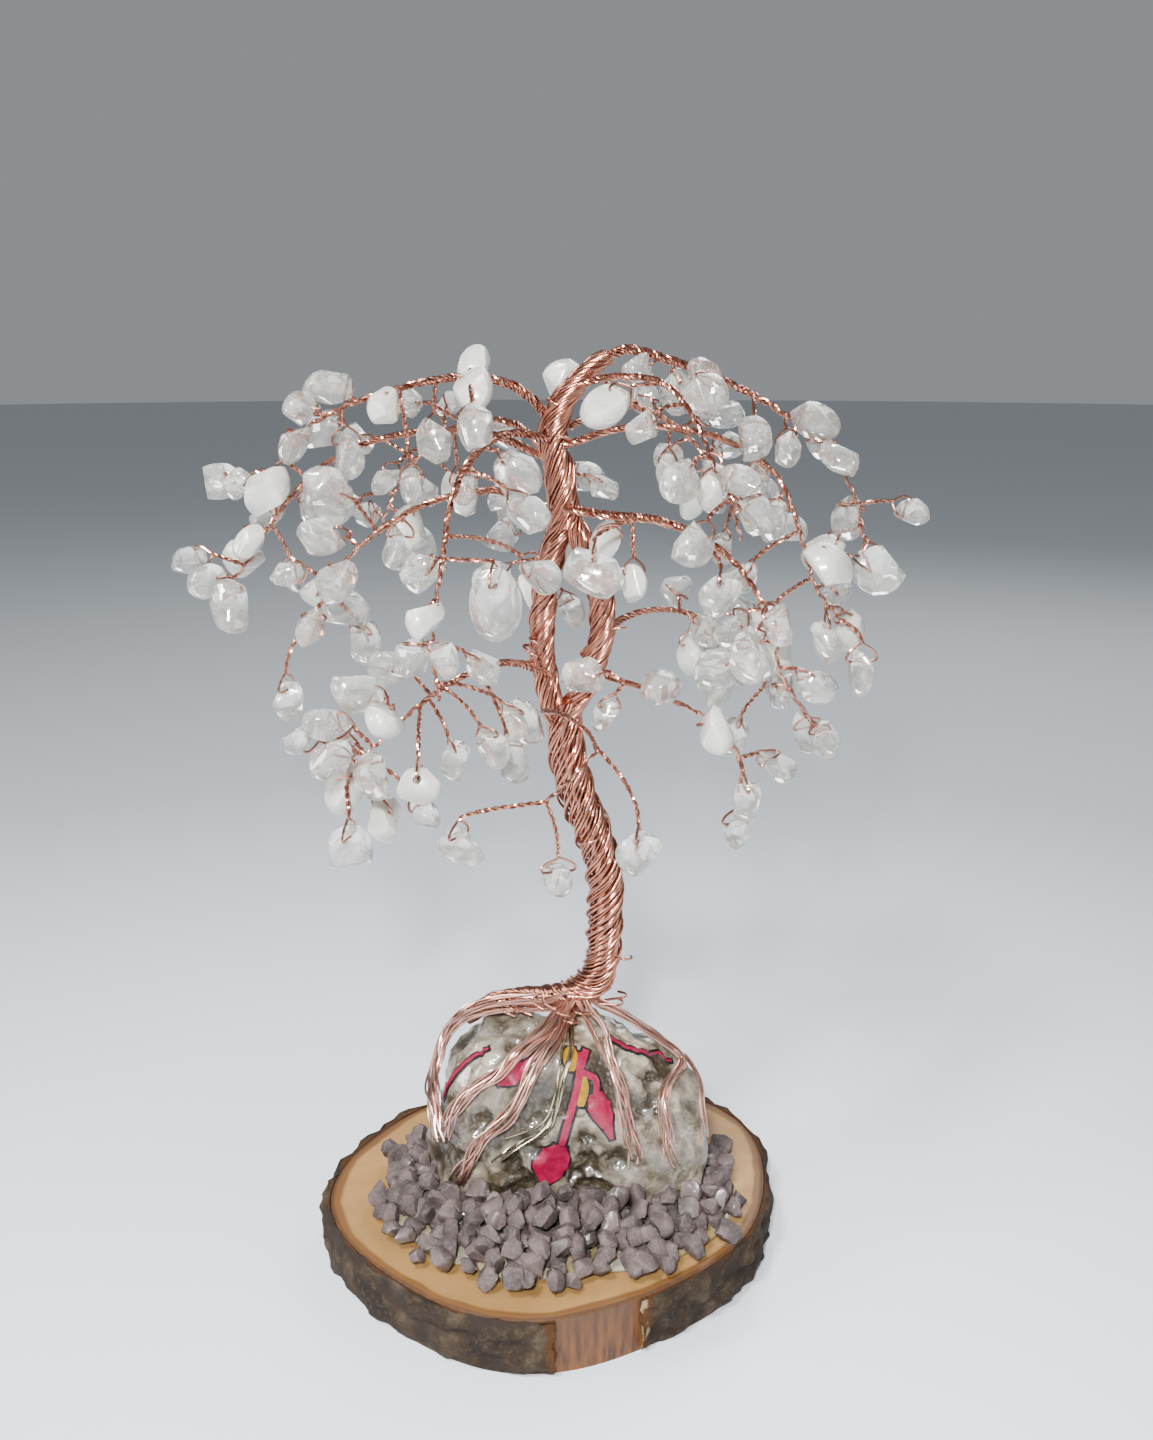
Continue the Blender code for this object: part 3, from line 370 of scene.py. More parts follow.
def fill_room():
    """Takes the room of everything whose place is given."""
    room = Room()
    for rope in ROPES:
        room.take(rope.name, smooth(rope.route, 1.5 * MM), max(rope.radii) * MM)
    for branch in BRANCHES:
        stem, rest = branch_parts(branch)
        room.take("stem_" + branch.name, spaced(stem, 1 * MM), branch.radius * MM)
        room.take(branch.name, spaced(rest, 1 * MM), branch.radius * MM)
    for pendant in PENDANTS:
        length, width, _ = (side * MM for side in pendant.size)
        middle = Vector(pendant.hinge) * MM - UP * HOLE_SHARE * length
        room.take(pendant.name, [middle], max(length, width) / 2 + 0.6 * MM)
        room.take(pendant.branch, spaced(pendant_twig(pendant), 1 * MM), 2 * TWIG_RADIUS)
    return room


def given_twig(branch, line, place, number, attempt):
    """A twig to a chip with a given place, which gives way to the front or the back if it must."""
    chip = Vector(place) * MM
    chip.y += (-1) ** attempt * ((attempt + 1) // 2) * 0.8 * MM
    shares = [branch.stem + 0.06 + (0.94 - branch.stem) * i / 40 for i in range(41)]
    nearest = min(shares, key=lambda share: (along(line, share) - chip).length)
    start = along(line, max(branch.stem + 0.06, nearest - 0.05))
    middle = start.lerp(chip, 0.5) + UP * 0.18 * (chip - start).length
    return Twig(branch.name, start, middle, chip, number * GOLDEN_ANGLE,
                chip_size(branch, number), number)


def grown_twig(branch, line, number, attempt):
    """One way in which a twig could grow from a branch. Later attempts turn it and vary it."""
    count = len(branch.clear) + len(branch.milky) + branch.more
    share = branch.stem + 0.08 + (0.90 - branch.stem) * number / count
    start = along(line, share - 0.01 * (attempt % 4))
    tangent = (along(line, share) - along(line, share - 0.05)).normalized()
    side = tangent.cross(UP).normalized()
    turn = number * GOLDEN_ANGLE + attempt * 0.7
    outward = side * math.cos(turn) + side.cross(tangent) * math.sin(turn)
    if start.y < 0:
        outward.y = abs(outward.y)
    vary = 0.5 + 0.5 * math.sin(12.9 * number + 78.2 * len(branch.name) + 3.1 * attempt)
    reach = TWIG_REACH * (0.7 + 0.55 * vary)
    heading = (outward + tangent * 0.25 - UP * 0.3).normalized()
    chip = start + heading * reach
    middle = start + (heading + UP * 0.25) * reach * 0.55
    return Twig(branch.name, start, middle, chip, turn + vary, chip_size(branch, number),
                number)


def chip_size(branch, number):
    growth = 0.82 + 0.34 * ((number * 7 + len(branch.name) * 3) % 11) / 10
    return tuple(half * growth for half in CHIP_HALF)


@functools.lru_cache
def place_twigs():
    """Every twig that carries a joined chip, each clear of all the others."""
    room, placed = fill_room(), []
    for branch in BRANCHES:
        line = branch_line(branch)
        for number, place in enumerate(branch.clear + branch.milky):
            ways = (given_twig(branch, line, place, number, attempt) for attempt in range(15))
            placed += take_first_free(room, branch, ways)
    for branch in BRANCHES:
        line = branch_line(branch)
        given = len(branch.clear) + len(branch.milky)
        for number in range(given, given + branch.more):
            ways = (grown_twig(branch, line, number, attempt) for attempt in range(30))
            placed += take_first_free(room, branch, ways)
    return placed


def take_first_free(room, branch, ways):
    """Takes the room of the first of these twigs that is free, and gives it in a list."""
    for twig in ways:
        wire = spaced(twig_line(twig.start, twig.middle, twig.chip), 1 * MM)
        own_wires, own_chips = branch.name, branch.name + "_chips"
        chip_room = CHIP_ROOM * twig.size[0]
        if (room.is_free([twig.chip], chip_room, ignoring=(own_wires,))
                and room.is_free(wire, TWIG_RADIUS, ignoring=(own_wires, own_chips))):
            room.take(own_chips, [twig.chip], chip_room)
            room.take(own_wires, wire[:-3], TWIG_RADIUS)
            return [twig]
    return []


def rim(angle, inset=0.0):
    """A point of the slice's rim, an angle in radians round it."""
    radius = SLICE_RADIUS - inset
    for count, height, crest in SLICE_LOBES:
        radius += height * math.cos(count * (angle - math.radians(crest)))
    return Vector((radius * math.cos(angle), radius * math.sin(angle), 0))


def rock_point(direction, outside=0.0):
    """The rock's surface in this direction from the middle of its foot, or a point outside it."""
    x, y, z = (abs(side) for side in direction)
    power = ROCK_SQUARENESS
    reach = (x ** power + y ** power + z ** power) ** (-1 / power)
    reach *= 1 + ROCK_LUMP * noise.noise(direction * 1.9 + Vector((4.1, 0.3, 2.2)))
    point = Vector(direction[i] * reach * ROCK_HALF[i] for i in range(3))
    point.z *= 1 - ROCK_SLOPE * point.x / ROCK_HALF.x
    point.z *= 1 - ROCK_BACK_SLOPE * max(0.0, point.y / ROCK_HALF.y)
    outward = Vector(direction[i] / ROCK_HALF[i] for i in range(3)).normalized()
    return ROCK_FOOT + point + outward * outside


def gravel_reach(angle):
    """How far the gravel reaches out from the rock at a heading in degrees."""
    for (before, near), (after, far) in zip(GRAVEL_REACH, GRAVEL_REACH[1:]):
        if angle <= after:
            return (near + (far - near) * (angle - before) / (after - before)) * MM
    return GRAVEL_REACH[-1][1] * MM


def beside_rock(angle, distance):
    """A point on the ground at a heading in degrees and a distance out from the rock's foot."""
    heading = math.radians(angle)
    direction = Vector((math.cos(heading), math.sin(heading), 0))
    foot = rock_point(direction)
    return Vector((foot.x, foot.y, 0)) + direction * distance


def direction_of(heading, lift):
    """The direction with this heading and this height over the ground, both in degrees."""
    heading, lift = math.radians(heading), math.radians(lift)
    return Vector((math.cos(heading) * math.cos(lift), math.sin(heading) * math.cos(lift),
                   math.sin(lift)))


def root_line(root):
    """A root's line over the rock, from the trunk down to the gravel."""
    turns = curve_through([Vector((heading, lift, 0)) for heading, lift in root.route])
    points = []
    for i, turn in enumerate(turns):
        thickness = leaning(i / (len(turns) - 1), root.radius, 0.5 * root.radius) * MM
        points.append(rock_point(direction_of(turn.x, turn.y), thickness + 2 * CLEARANCE))
    return spaced(points, ROOT_STEP)


def branch_parts(branch):
    """A branch's line cut into its stem and the rest."""
    line = branch_line(branch)
    split = max(2, round(branch.stem * (len(line) - 1)))
    stem_end = line[split] - (line[split] - line[split - 1]).normalized() * CLEARANCE
    return line[:split] + [stem_end], line[split:]


# Finishes


class Signal:
    """A number that varies over a surface, so that shader maths can be written as expressions."""

    def __init__(self, finish, socket):
        self.finish, self.socket = finish, socket

    def maths(self, operation, first, second):
        return self.finish.node("ShaderNodeMath", {"operation": operation}, {0: first, 1: second})

    def __add__(self, other):
        return self.maths("ADD", self, other)

    __radd__ = __add__

    def __rsub__(self, other):
        return self.maths("SUBTRACT", other, self)

    def __mul__(self, other):
        return self.maths("MULTIPLY", self, other)

    __rmul__ = __mul__

    def clipped(self, low, high):
        """0 below low, 1 above high and even between them."""
        return self.finish.node("ShaderNodeMapRange", {}, {
            "Value": self, "From Min": low, "From Max": high})


class Finish:
    """A material, and the nodes that vary it over a surface."""

    def __init__(self, name, **constants):
        self.material = bpy.data.materials.new(name)
        self.material.use_nodes = True
        self.tree = self.material.node_tree
        self.shader = self.tree.nodes["Principled BSDF"]
        self.set(**constants)
        self.where = self.node("ShaderNodeTexCoord", {}, {}, "Object")

    def set(self, **values):
        """Sets the shader's sockets, named with _ for a space, to numbers, colours or signals."""
        for name, value in values.items():
            self.give(self.shader.inputs[name.replace("_", " ")], value)

    def give(self, socket, value):
        if isinstance(value, Signal):
            self.tree.links.new(value.socket, socket)
        elif isinstance(value, tuple) and socket.type == "RGBA" and len(value) == 3:
            socket.default_value = (*value, 1)
        else:
            socket.default_value = value

    def node(self, kind, settings, inputs, output=0):
        """A node of this type with its settings, then its inputs, and one of its outputs."""
        made = self.tree.nodes.new(kind)
        for name, value in settings.items():
            if name == "stops":
                ramp = made.color_ramp
                while len(ramp.elements) < len(value):
                    ramp.elements.new(1)
                for element, (position, colour) in zip(ramp.elements, value):
                    element.position = position
                    element.color = (*colour, 1)
            else:
                setattr(made, name, value)
        for name, value in inputs.items():
            self.give(made.inputs[name], value)
        return Signal(self, made.outputs[output])

    def stored(self, name):
        """The number that the mesh keeps under this name."""
        return self.node("ShaderNodeAttribute", {"attribute_name": name}, {}, "Fac")

    def stretched(self, scale):
        return self.node("ShaderNodeMapping", {}, {"Vector": self.where, "Scale": scale})

    def noise(self, size, detail=3.0, roughness=0.55, distortion=0.0, where=None):
        """Cloudy noise with lumps of about this size in metres, from 0 to 1."""
        return self.node("ShaderNodeTexNoise", {}, {
            "Vector": where or self.where, "Scale": 1 / size, "Detail": detail,
            "Roughness": roughness, "Distortion": distortion})

    def cells(self, size):
        return self.node("ShaderNodeTexVoronoi", {}, {"Vector": self.where, "Scale": 1 / size})

    def ramp(self, signal, *stops):
        """The colour for a signal, through (position, colour) stops."""
        return self.node("ShaderNodeValToRGB", {"stops": stops}, {"Fac": signal})

    def mix(self, factor, first, second):
        return self.node("ShaderNodeMix", {"data_type": "RGBA"}, {
            0: factor, 6: first, 7: second}, 2)

    def bump(self, height, distance, strength=1.0, under=None):
        """A normal from a height signal of 0 to 1 that stands for this distance in metres."""
        inputs = {"Height": height, "Distance": distance, "Strength": strength}
        if under:
            inputs["Normal"] = under
        return self.node("ShaderNodeBump", {}, inputs)


def colour(name):
    return tuple(getattr(bpy.context.scene.wire_tree_colours, name))


def wire_finish(name, copper, roughness=0.1):
    """Drawn copper wire: bright and a little uneven, with painted shade and painted sheen that vary
    from wire to wire and in patches.
    """
    finish = Finish(name, Metallic=1.0)
    copper = Vector(copper)
    tone = finish.stored("tone")
    patches = finish.noise(5 * MM, detail=2)
    specks = finish.noise(0.6 * MM, detail=2)
    painted_sheen = tuple(0.8 * c + 0.2 * 0.95 for c in copper)
    # Painted shade and sheen: each wire and each patch is darker or paler copper, standing for the
    # light it catches.
    body = finish.ramp(patches * 0.5 + tone * 0.5, (0.2, tuple(copper * 0.6)),
                       (0.5, tuple(copper)), (0.8, painted_sheen))
    gold = tone.clipped(0.92, 0.94) * 0.8  # a wire here and there
    finish.set(
        Base_Color=finish.mix(gold, body, (0.46, 0.33, 0.16)),
        Roughness=roughness + specks * 0.17)
    return finish.material


def clear_finish():
    """Rock crystal with thin white clouds in it."""
    clearness = bpy.context.scene.wire_tree_colours.clearness
    finish = Finish("clear_quartz", Transmission_Weight=clearness, IOR=1.54)
    clouds = finish.noise(2.6 * MM, detail=5, distortion=1.5)
    dents = finish.bump(finish.noise(2.8 * MM, detail=2), 0.22 * MM, 0.35)
    finish.set(
        Base_Color=finish.ramp(clouds, (0.35, (0.78, 0.77, 0.72)), (0.62, (0.97, 0.96, 0.91))),
        Roughness=0.04 + clouds.clipped(0.5, 0.75) * 0.2,
        Normal=dents)
    veil = finish.node("ShaderNodeBsdfPrincipled", {}, {
        "Base Color": (0.56, 0.54, 0.49), "Roughness": 0.3, "Normal": dents}, "BSDF")
    clear = Signal(finish, finish.shader.outputs["BSDF"])
    mixed = finish.node("ShaderNodeMixShader", {}, {
        0: 0.02 + clouds.clipped(0.54, 0.74) * 0.34, 1: clear, 2: veil})
    finish.give(finish.tree.nodes["Material Output"].inputs["Surface"], mixed)
    return finish.material


def milky_finish():
    """White quartz: smooth, waxy and a little lighter where it is thin."""
    finish = Finish("milky_quartz", Subsurface_Weight=0.35, Subsurface_Scale=0.6,
                    Subsurface_Radius=(4 * MM, 4 * MM, 3.5 * MM), Coat_Weight=0.4, IOR=1.5,
                    Transmission_Weight=0.12)
    clouds = finish.noise(4 * MM, detail=3)
    finish.set(
        Base_Color=finish.ramp(clouds, (0.3, (0.40, 0.39, 0.35)), (0.7, (0.56, 0.55, 0.50))),
        Roughness=0.18 + clouds * 0.2)
    return finish.material


def rock_finish():
    """A rough varnished stone: grey and beige crystal, with brown that darkens to painted shade in
    its hollows.
    """
    finish = Finish("weathered_rock", Coat_Roughness=0.08, Coat_IOR=1.5)
    hollow = finish.stored("hollow")
    masses = finish.noise(15 * MM, detail=3, distortion=0.6)
    veins = finish.noise(4 * MM, detail=5, roughness=0.65, distortion=0.8)
    grains = finish.cells(0.9 * MM)
    base = finish.ramp(masses, (0.38, colour("rock_grey")), (0.5, (0.17, 0.14, 0.10)),
                       (0.60, colour("rock_pale")))
    base = finish.mix(veins.clipped(0.46, 0.72) * 0.7, base, (0.36, 0.31, 0.235))
    base = finish.mix(veins.clipped(0.48, 0.30) * 0.75, base, (0.08, 0.063, 0.038))
    stain = finish.noise(8 * MM, detail=5, roughness=0.7, distortion=1.2)
    base = finish.mix(stain.clipped(0.5, 0.6) * 0.9, base, (0.05, 0.039, 0.018))
    # Painted shade: the hollows and pits darken to a nearly black brown.
    base = finish.mix(hollow.clipped(0.14, 0.55), base, colour("rock_hollow_shade"))
    base = finish.mix(grains.clipped(0.55, 0.1) * 0.25, base, (0.2, 0.17, 0.13))
    finish.set(
        Base_Color=base,
        Coat_Weight=0.75 + veins * 0.25,
        Roughness=0.3 + veins * 0.35,
        Normal=finish.bump(veins, 0.5 * MM, 0.6, under=finish.bump(grains, 0.12 * MM, 0.5)))
    return finish.material


def gravel_finish():
    """Dull mauve stone with a sugary grain, whose paler flecks are painted glints."""
    finish = Finish("crushed_gravel", Coat_Roughness=0.2)
    grain = finish.noise(0.55 * MM, detail=4, roughness=0.7)
    stones = finish.noise(5 * MM, detail=1)
    wet = finish.noise(9 * MM, detail=2).clipped(0.52, 0.6)
    body = finish.ramp(stones, (0.34, colour("gravel_dark")), (0.66, colour("gravel_pale")))
    # Painted glints: the paler flecks of the grain.
    body = finish.mix(grain.clipped(0.5, 0.72) * 0.5, body, (0.18, 0.138, 0.135))
    body = finish.mix(grain.clipped(0.46, 0.28) * 0.5, body, (0.022, 0.015, 0.018))
    finish.set(
        Base_Color=body,
        Roughness=0.75 - wet * 0.35,
        Coat_Weight=wet * 0.6,
        Normal=finish.bump(grain, 0.3 * MM, 0.8))
    return finish.material


def glue_finish():
    """Hardened clear glue that has yellowed a little."""
    finish = Finish("hardened_glue", Transmission_Weight=0.7, IOR=1.48)
    thick = finish.noise(7 * MM, detail=2)
    finish.set(
        Base_Color=finish.ramp(thick, (0.4, (0.62, 0.47, 0.2)), (0.6, (0.86, 0.8, 0.62))),
        Roughness=0.06 + thick * 0.12,
        Normal=finish.bump(thick, 0.6 * MM, 0.6))
    return finish.material


def wood_finish():
    """End grain: rings about the pith, rays across them and a golden band under the bark."""
    finish = Finish("end_grain", Coat_Weight=0.05)
    reach = finish.stored("reach")
    wander = finish.noise(14 * MM, detail=2)
    blotch = finish.noise(22 * MM, detail=4, distortion=0.8)
    fine = finish.noise(0.5 * MM, detail=3, roughness=0.6)
    rings = (reach * 13 + wander * 2.2).maths("FRACT", reach * 13 + wander * 2.2, 0)
    wood = finish.ramp(blotch, (0.36, tuple(Vector(colour("wood")) * 0.82)),
                       (0.6, colour("wood")), (0.76, (0.34, 0.195, 0.07)))
    wood = finish.mix(rings.clipped(0.55, 1.0) * 0.28, wood, (0.27, 0.148, 0.052))
    wood = finish.mix(fine.clipped(0.5, 0.75) * 0.3, wood, (0.21, 0.115, 0.042))
    side = finish.stored("side")
    streaks = finish.noise(1, detail=4, where=finish.stretched((900, 900, 140)))
    bare = finish.ramp(streaks, (0.35, (0.035, 0.011, 0.002)), (0.5, (0.10, 0.032, 0.004)),
                       (0.68, (0.17, 0.058, 0.008)))
    edge = (reach + wander * 0.09).clipped(0.988, 1.005)
    wood = finish.mix(edge * 0.92, wood, colour("golden_band"))
    edge = (reach + wander * 0.04).clipped(0.998, 1.01)
    wood = finish.mix(edge * 0.85, wood, (0.035, 0.014, 0.004))
    wood = finish.mix(side, wood, bare)
    finish.set(
        Base_Color=wood,
        Roughness=0.5 + fine * 0.2,
        Normal=finish.bump(fine + rings * 0.3, 0.12 * MM, 0.5))
    return finish.material


def bark_finish():
    """Dry bark: grey on its ridges, painted shade nearly black in its cracks, warm brown where it
    is worn.
    """
    finish = Finish("cracked_bark", Specular_IOR_Level=0.2)
    hollow = finish.stored("hollow")
    inner = finish.stored("inner")
    patches = finish.noise(9 * MM, detail=4, roughness=0.6)
    grain = finish.noise(1.1 * MM, detail=4, roughness=0.65)
    bark = finish.ramp(patches, (0.36, colour("bark_dark")), (0.52, (0.026, 0.016, 0.009)),
                       (0.68, colour("bark_pale")))
    bark = finish.mix(grain.clipped(0.5, 0.75) * 0.5, bark, (0.085, 0.064, 0.043))
    # Painted shade: the cracks are darkened nearly to black.
    bark = finish.mix(hollow.clipped(0.45, 0.8) * 0.85, bark, (0.018, 0.012, 0.009))
    bark = finish.mix(inner.clipped(0.3, 0.7), bark, (0.05, 0.02, 0.006))
    torn = finish.stored("torn")
    bark = finish.mix((torn + patches * 0.6).clipped(0.75, 0.9), bark, (0.19, 0.145, 0.085))
    finish.set(
        Base_Color=bark,
        Roughness=0.85 + grain * 0.1,
        Normal=finish.bump(grain, 0.5 * MM, 0.9))
    return finish.material


def paint_finish(name, paint):
    """Enamel brushed on thinly: a little uneven in colour and gloss."""
    finish = Finish(name, Coat_Weight=0.3, Coat_Roughness=0.1)
    strokes = finish.noise(1.2 * MM, detail=3)
    finish.set(
        Base_Color=finish.ramp(strokes, (0.35, tuple(Vector(paint) * 0.72)), (0.6, paint)),
        Roughness=0.25 + strokes * 0.2,
        Normal=finish.bump(strokes, 0.1 * MM, 0.6))
    return finish.material


FINISHES = {
    "rose_gold_copper": lambda: wire_finish("rose_gold_copper", colour("rose_wire")),
    "pale_gold_copper": lambda: wire_finish("pale_gold_copper", colour("gold_wire")),
    # The roots' wire: the rose copper made paler, a painted lit copy that stands for the light the
    # roots catch.
    "polished_copper": lambda: wire_finish(
        "polished_copper", Vector(colour("rose_wire")).lerp(Vector((1.0, 0.68, 0.58)), 0.5), 0.24),
    "clear_quartz": clear_finish,
    "milky_quartz": milky_finish,
    "weathered_rock": rock_finish,
    "crushed_gravel": gravel_finish,
    "hardened_glue": glue_finish,
    "end_grain": wood_finish,
    "cracked_bark": bark_finish,
    "magenta_paint": lambda: paint_finish("magenta_paint", colour("magenta")),
    "yellow_paint": lambda: paint_finish("yellow_paint", colour("yellow")),
    "black_paint": lambda: paint_finish("black_paint", (0.006, 0.005, 0.006)),
}


# The rose wires of the roots take the paler, painted lit copy of the rose copper.
ROOT_FINISHES = {"rose_wire": "polished_copper", "gold_wire": "pale_gold_copper"}


def finish_named(name):
    """A finish, made when it is first asked for."""
    return bpy.data.materials.get(name) or FINISHES[name]()


# Making pieces


def sizes():
    return bpy.context.scene.wire_tree_sizes


def object_mode():
    if bpy.context.mode != "OBJECT":
        bpy.ops.object.mode_set(mode="OBJECT")


def pick(made):
    """Makes this the one selected, active object."""
    object_mode()
    bpy.ops.object.select_all(action="DESELECT")
    made.select_set(True)
    bpy.context.view_layer.objects.active = made


def new_primitive(add, name, **values):
    """A primitive of this kind at its size, alone in the selection."""
    object_mode()
    bpy.ops.object.select_all(action="DESELECT")
    add(**values)
    made = bpy.context.object
    made.name = made.data.name = name
    return made


def edit(made, mode="FACE"):
    """Opens a mesh for editing with nothing selected."""
    pick(made)
    bpy.ops.object.mode_set(mode="EDIT")
    bpy.ops.mesh.select_mode(type=mode)
    bpy.ops.mesh.select_all(action="DESELECT")
    return bmesh.from_edit_mesh(made.data)


def apply(made, kind, **values):
    """Adds a modifier with these settings and applies it."""
    pick(made)
    modifier = made.modifiers.new(kind.lower(), kind)
    for name, value in values.items():
        setattr(modifier, name, value)
    bpy.ops.object.modifier_apply(modifier=modifier.name)


def settle(made):
    """Moves an object's place into its mesh, merges its doubles and turns its faces outwards."""
    pick(made)
    bpy.ops.object.transform_apply(location=True, rotation=True, scale=True)
    edit(made)
    bpy.ops.mesh.select_all(action="SELECT")
    bpy.ops.mesh.remove_doubles(threshold=0.001 * MM)
    bpy.ops.mesh.normals_make_consistent(inside=False)
    object_mode()


def soften(made, degrees):
    pick(made)
    bpy.ops.object.shade_smooth_by_angle(angle=math.radians(degrees))


def reshape(made, move):
    """Moves every vertex to where move puts it."""
    for vertex in made.data.vertices:
        vertex.co = move(vertex.co.copy())
    made.data.update()


def keep(made, name, finish, slot, *nodes, body=TREE):
    """Gives a finished piece its name, material and body, and hides the nodes it stands for. The
    slot is not used.
    """
    made.name = made.data.name = name
    made.data.materials.clear()
    made.data.materials.append(finish_named(finish))
    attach(made, body)
    if nodes:
        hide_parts(*nodes)


def store(made, name, values):
    """Keeps one number for each vertex for the material to read."""
    attribute = made.data.attributes.new(name, "FLOAT", "POINT")
    attribute.data.foreach_set("value", values)


def merged(name, meshes):
    """One new object of several meshes."""
    shape = bmesh.new()
    for mesh in meshes:
        shape.from_mesh(mesh)
        bpy.data.meshes.remove(mesh)
    joined = bpy.data.meshes.new(name)
    shape.to_mesh(joined)
    shape.free()
    made = bpy.data.objects.new(name, joined)
    bpy.context.scene.collection.objects.link(made)
    return made


def placed_copy(mesh, matrix):
    copy = mesh.copy()
    copy.transform(matrix)
    return copy


# Wires


def cross_frames(line):
    """Two directions across a line at each of its points, which turn as little as they can."""
    found = []
    side = None
    for i in range(len(line)):
        before, after = line[max(0, i - 1)], line[min(len(line) - 1, i + 1)]
        heading = (after - before).normalized()
        if side is None:
            side = heading.orthogonal()
        side = (side - heading * side.dot(heading)).normalized()
        found.append((side, heading.cross(side)))
    return found


def lengths_along(line):
    walked = [0.0]
    for before, after in zip(line, line[1:]):
        walked.append(walked[-1] + (after - before).length)
    return walked


def winding(line, frames, radii, turns):
    """A wire that winds round a line: at each point its distance from it and its angle round it."""
    return [point + (side * math.cos(turn) + other * math.sin(turn)) * radius
            for point, (side, other), radius, turn in zip(line, frames, radii, turns)]


def wire_object(name, wires, thickness, sides=1, tapers=None):
    """Round wires along lines of points, as one mesh with closed ends."""
    curve = bpy.data.curves.new(name, "CURVE")
    curve.dimensions = "3D"
    curve.bevel_depth = thickness / 2
    curve.bevel_resolution = sides
    curve.use_fill_caps = True
    for number, wire in enumerate(wires):
        spline = curve.splines.new("POLY")
        spline.points.add(len(wire) - 1)
        spline.points.foreach_set("co", [c for point in wire for c in (*point, 1)])
        if tapers:
            spline.points.foreach_set("radius", [tapers[number]] * len(wire))
    made = bpy.data.objects.new(name, curve)
    bpy.context.scene.collection.objects.link(made)
    pick(made)
    bpy.ops.object.convert(target="MESH")
    made = bpy.context.object
    settle(made)
    # Each wire's tone sets its painted shade or sheen, and picks the odd gold wire.
    store(made, "tone", wire_tones(made.data))
    soften(made, 50)
    return made


def wire_tones(mesh):
    """A number from 0 to 1 for each vertex, the same all along a wire and another on the next."""
    ends = np.empty(2 * len(mesh.edges), dtype=int)
    mesh.edges.foreach_get("vertices", ends)
    ends = np.sort(ends.reshape(-1, 2), axis=1)
    open_edges = np.zeros(len(mesh.vertices) + 1, dtype=int)
    np.add.at(open_edges, ends[:, 0], 1)
    np.add.at(open_edges, ends[:, 1], -1)
    open_edges = np.cumsum(open_edges)[:-1]
    wire = np.concatenate([[0], np.cumsum(open_edges == 0)[:-1]])
    return (wire * GOLDEN_SHARE) % 1


def twisted_pair(line, thickness, pitch, start_turn=0.0):
    """Both wires of a pair that is twisted about a line."""
    frames, walked = cross_frames(line), lengths_along(line)
    gap = [thickness * 0.52] * len(line)
    return [winding(line, frames, gap, [start_turn + half + 2 * math.pi * far / pitch
                                        for far in walked]) for half in (0, math.pi)]


def rope_wires(rope, thickness):
    """The wires of a rope, in groups whose middles stand proud, and a few that cross over them."""
    line = smooth(rope.route, 0.9 * MM)
    frames, walked = cross_frames(line), lengths_along(line)
    shares = [far / walked[-1] for far in walked]
    turns = [0.0]
    for share, (before, after) in zip(shares[1:], zip(walked, walked[1:])):
        turns.append(turns[-1] + 2 * math.pi * (after - before) / (along(rope.pitches, share) * MM))
    groups, each = rope.wires
    wires = []
    for number in range(groups * each + CROSSING_WIRES):
        crossing = number >= groups * each
        group, place = divmod(number, each)
        across = 2 * (place + 0.5) / each - 1
        angle = 2 * math.pi * (group + 0.5 + 0.47 * across) / groups
        lift = -0.2 * across * across
        pace = 1.0
        if crossing:
            angle, lift, pace = number * GOLDEN_ANGLE, 0.1, CROSSING_PACE
        radii, angles = [], []
        for share, far, turn in zip(shares, walked, turns):
            drift = noise.noise(Vector((number * 3.7, far / (9 * MM), len(rope.name))))
            rise = noise.noise(Vector((number * 1.9, far / (6 * MM), 7.3)))
            reach = along(rope.radii, share) * MM - 0.5 * thickness
            radii.append(reach * (1 + lift) + rise * 0.3 * MM)
            angles.append(angle + pace * turn + drift * 0.26)
        wires.append(winding(line, frames, radii, angles))
    return wires


def stray_wires(rope):
    """The short ends that stick out of a rope and curl back towards it."""
    strays = []
    for start, heading, reach, rise in STRAYS.get(rope.name, ()):
        out, side = direction_of(heading, 0), direction_of(heading + 90, 0)
        strays.append(evenly([
            (Vector(start) + (out * far + side * across) * reach + UP * above * rise) * MM
            for far, across, above in STRAY_CURL], 0.6 * MM))
    return strays


def rope_core(rope):
    """The filling of a rope, under its wires."""
    line = smooth(rope.route, 2 * MM)
    return line, 0.72 * min(rope.radii) * MM * 2


def chip_frame(down, turn):
    """A chip's axes: across its hole, its width and upwards along the twig that it hangs on."""
    up = -down.normalized()
    level = up.cross(UP) if abs(up.z) < 0.95 else up.cross(Vector((1, 0, 0)))
    hole = Matrix.Rotation(turn, 3, up) @ level.normalized()
    return hole, up.cross(hole), up


def threaded_twig(twig, thickness):
    """One wire from a branch through a chip's hole and back, twisted with itself on the way."""
    _, start, middle, chip, turn, size, _ = twig
    down = (chip - middle).normalized()
    hole, _, up = chip_frame(down, turn)
    length, _, depth = size
    eye = chip + up * 2 * HOLE_SHARE * length
    fork = chip + up * (length + 1.3 * MM)
    if (fork - start).dot(down) < 1 * MM:
        fork = start.lerp(eye, 0.5)
    centre = spaced([start.lerp(middle, i / 24).lerp(middle.lerp(fork, i / 24), i / 24)
                     for i in range(25)], 0.5 * MM)
    there, back = twisted_pair(centre, thickness, TWIG_PITCH, turn)
    half = depth * 0.8 + 0.2 * MM
    shoulder = fork.lerp(eye, 0.55)
    loop = evenly([there[-1], shoulder + hole * half * 0.9, eye + hole * half,
                   eye + hole * half * 0.3, eye - hole * half * 0.3, eye - hole * half,
                   shoulder - hole * half * 0.9, back[-1]], 0.45 * MM)
    return there + loop[1:-1] + back[::-1]


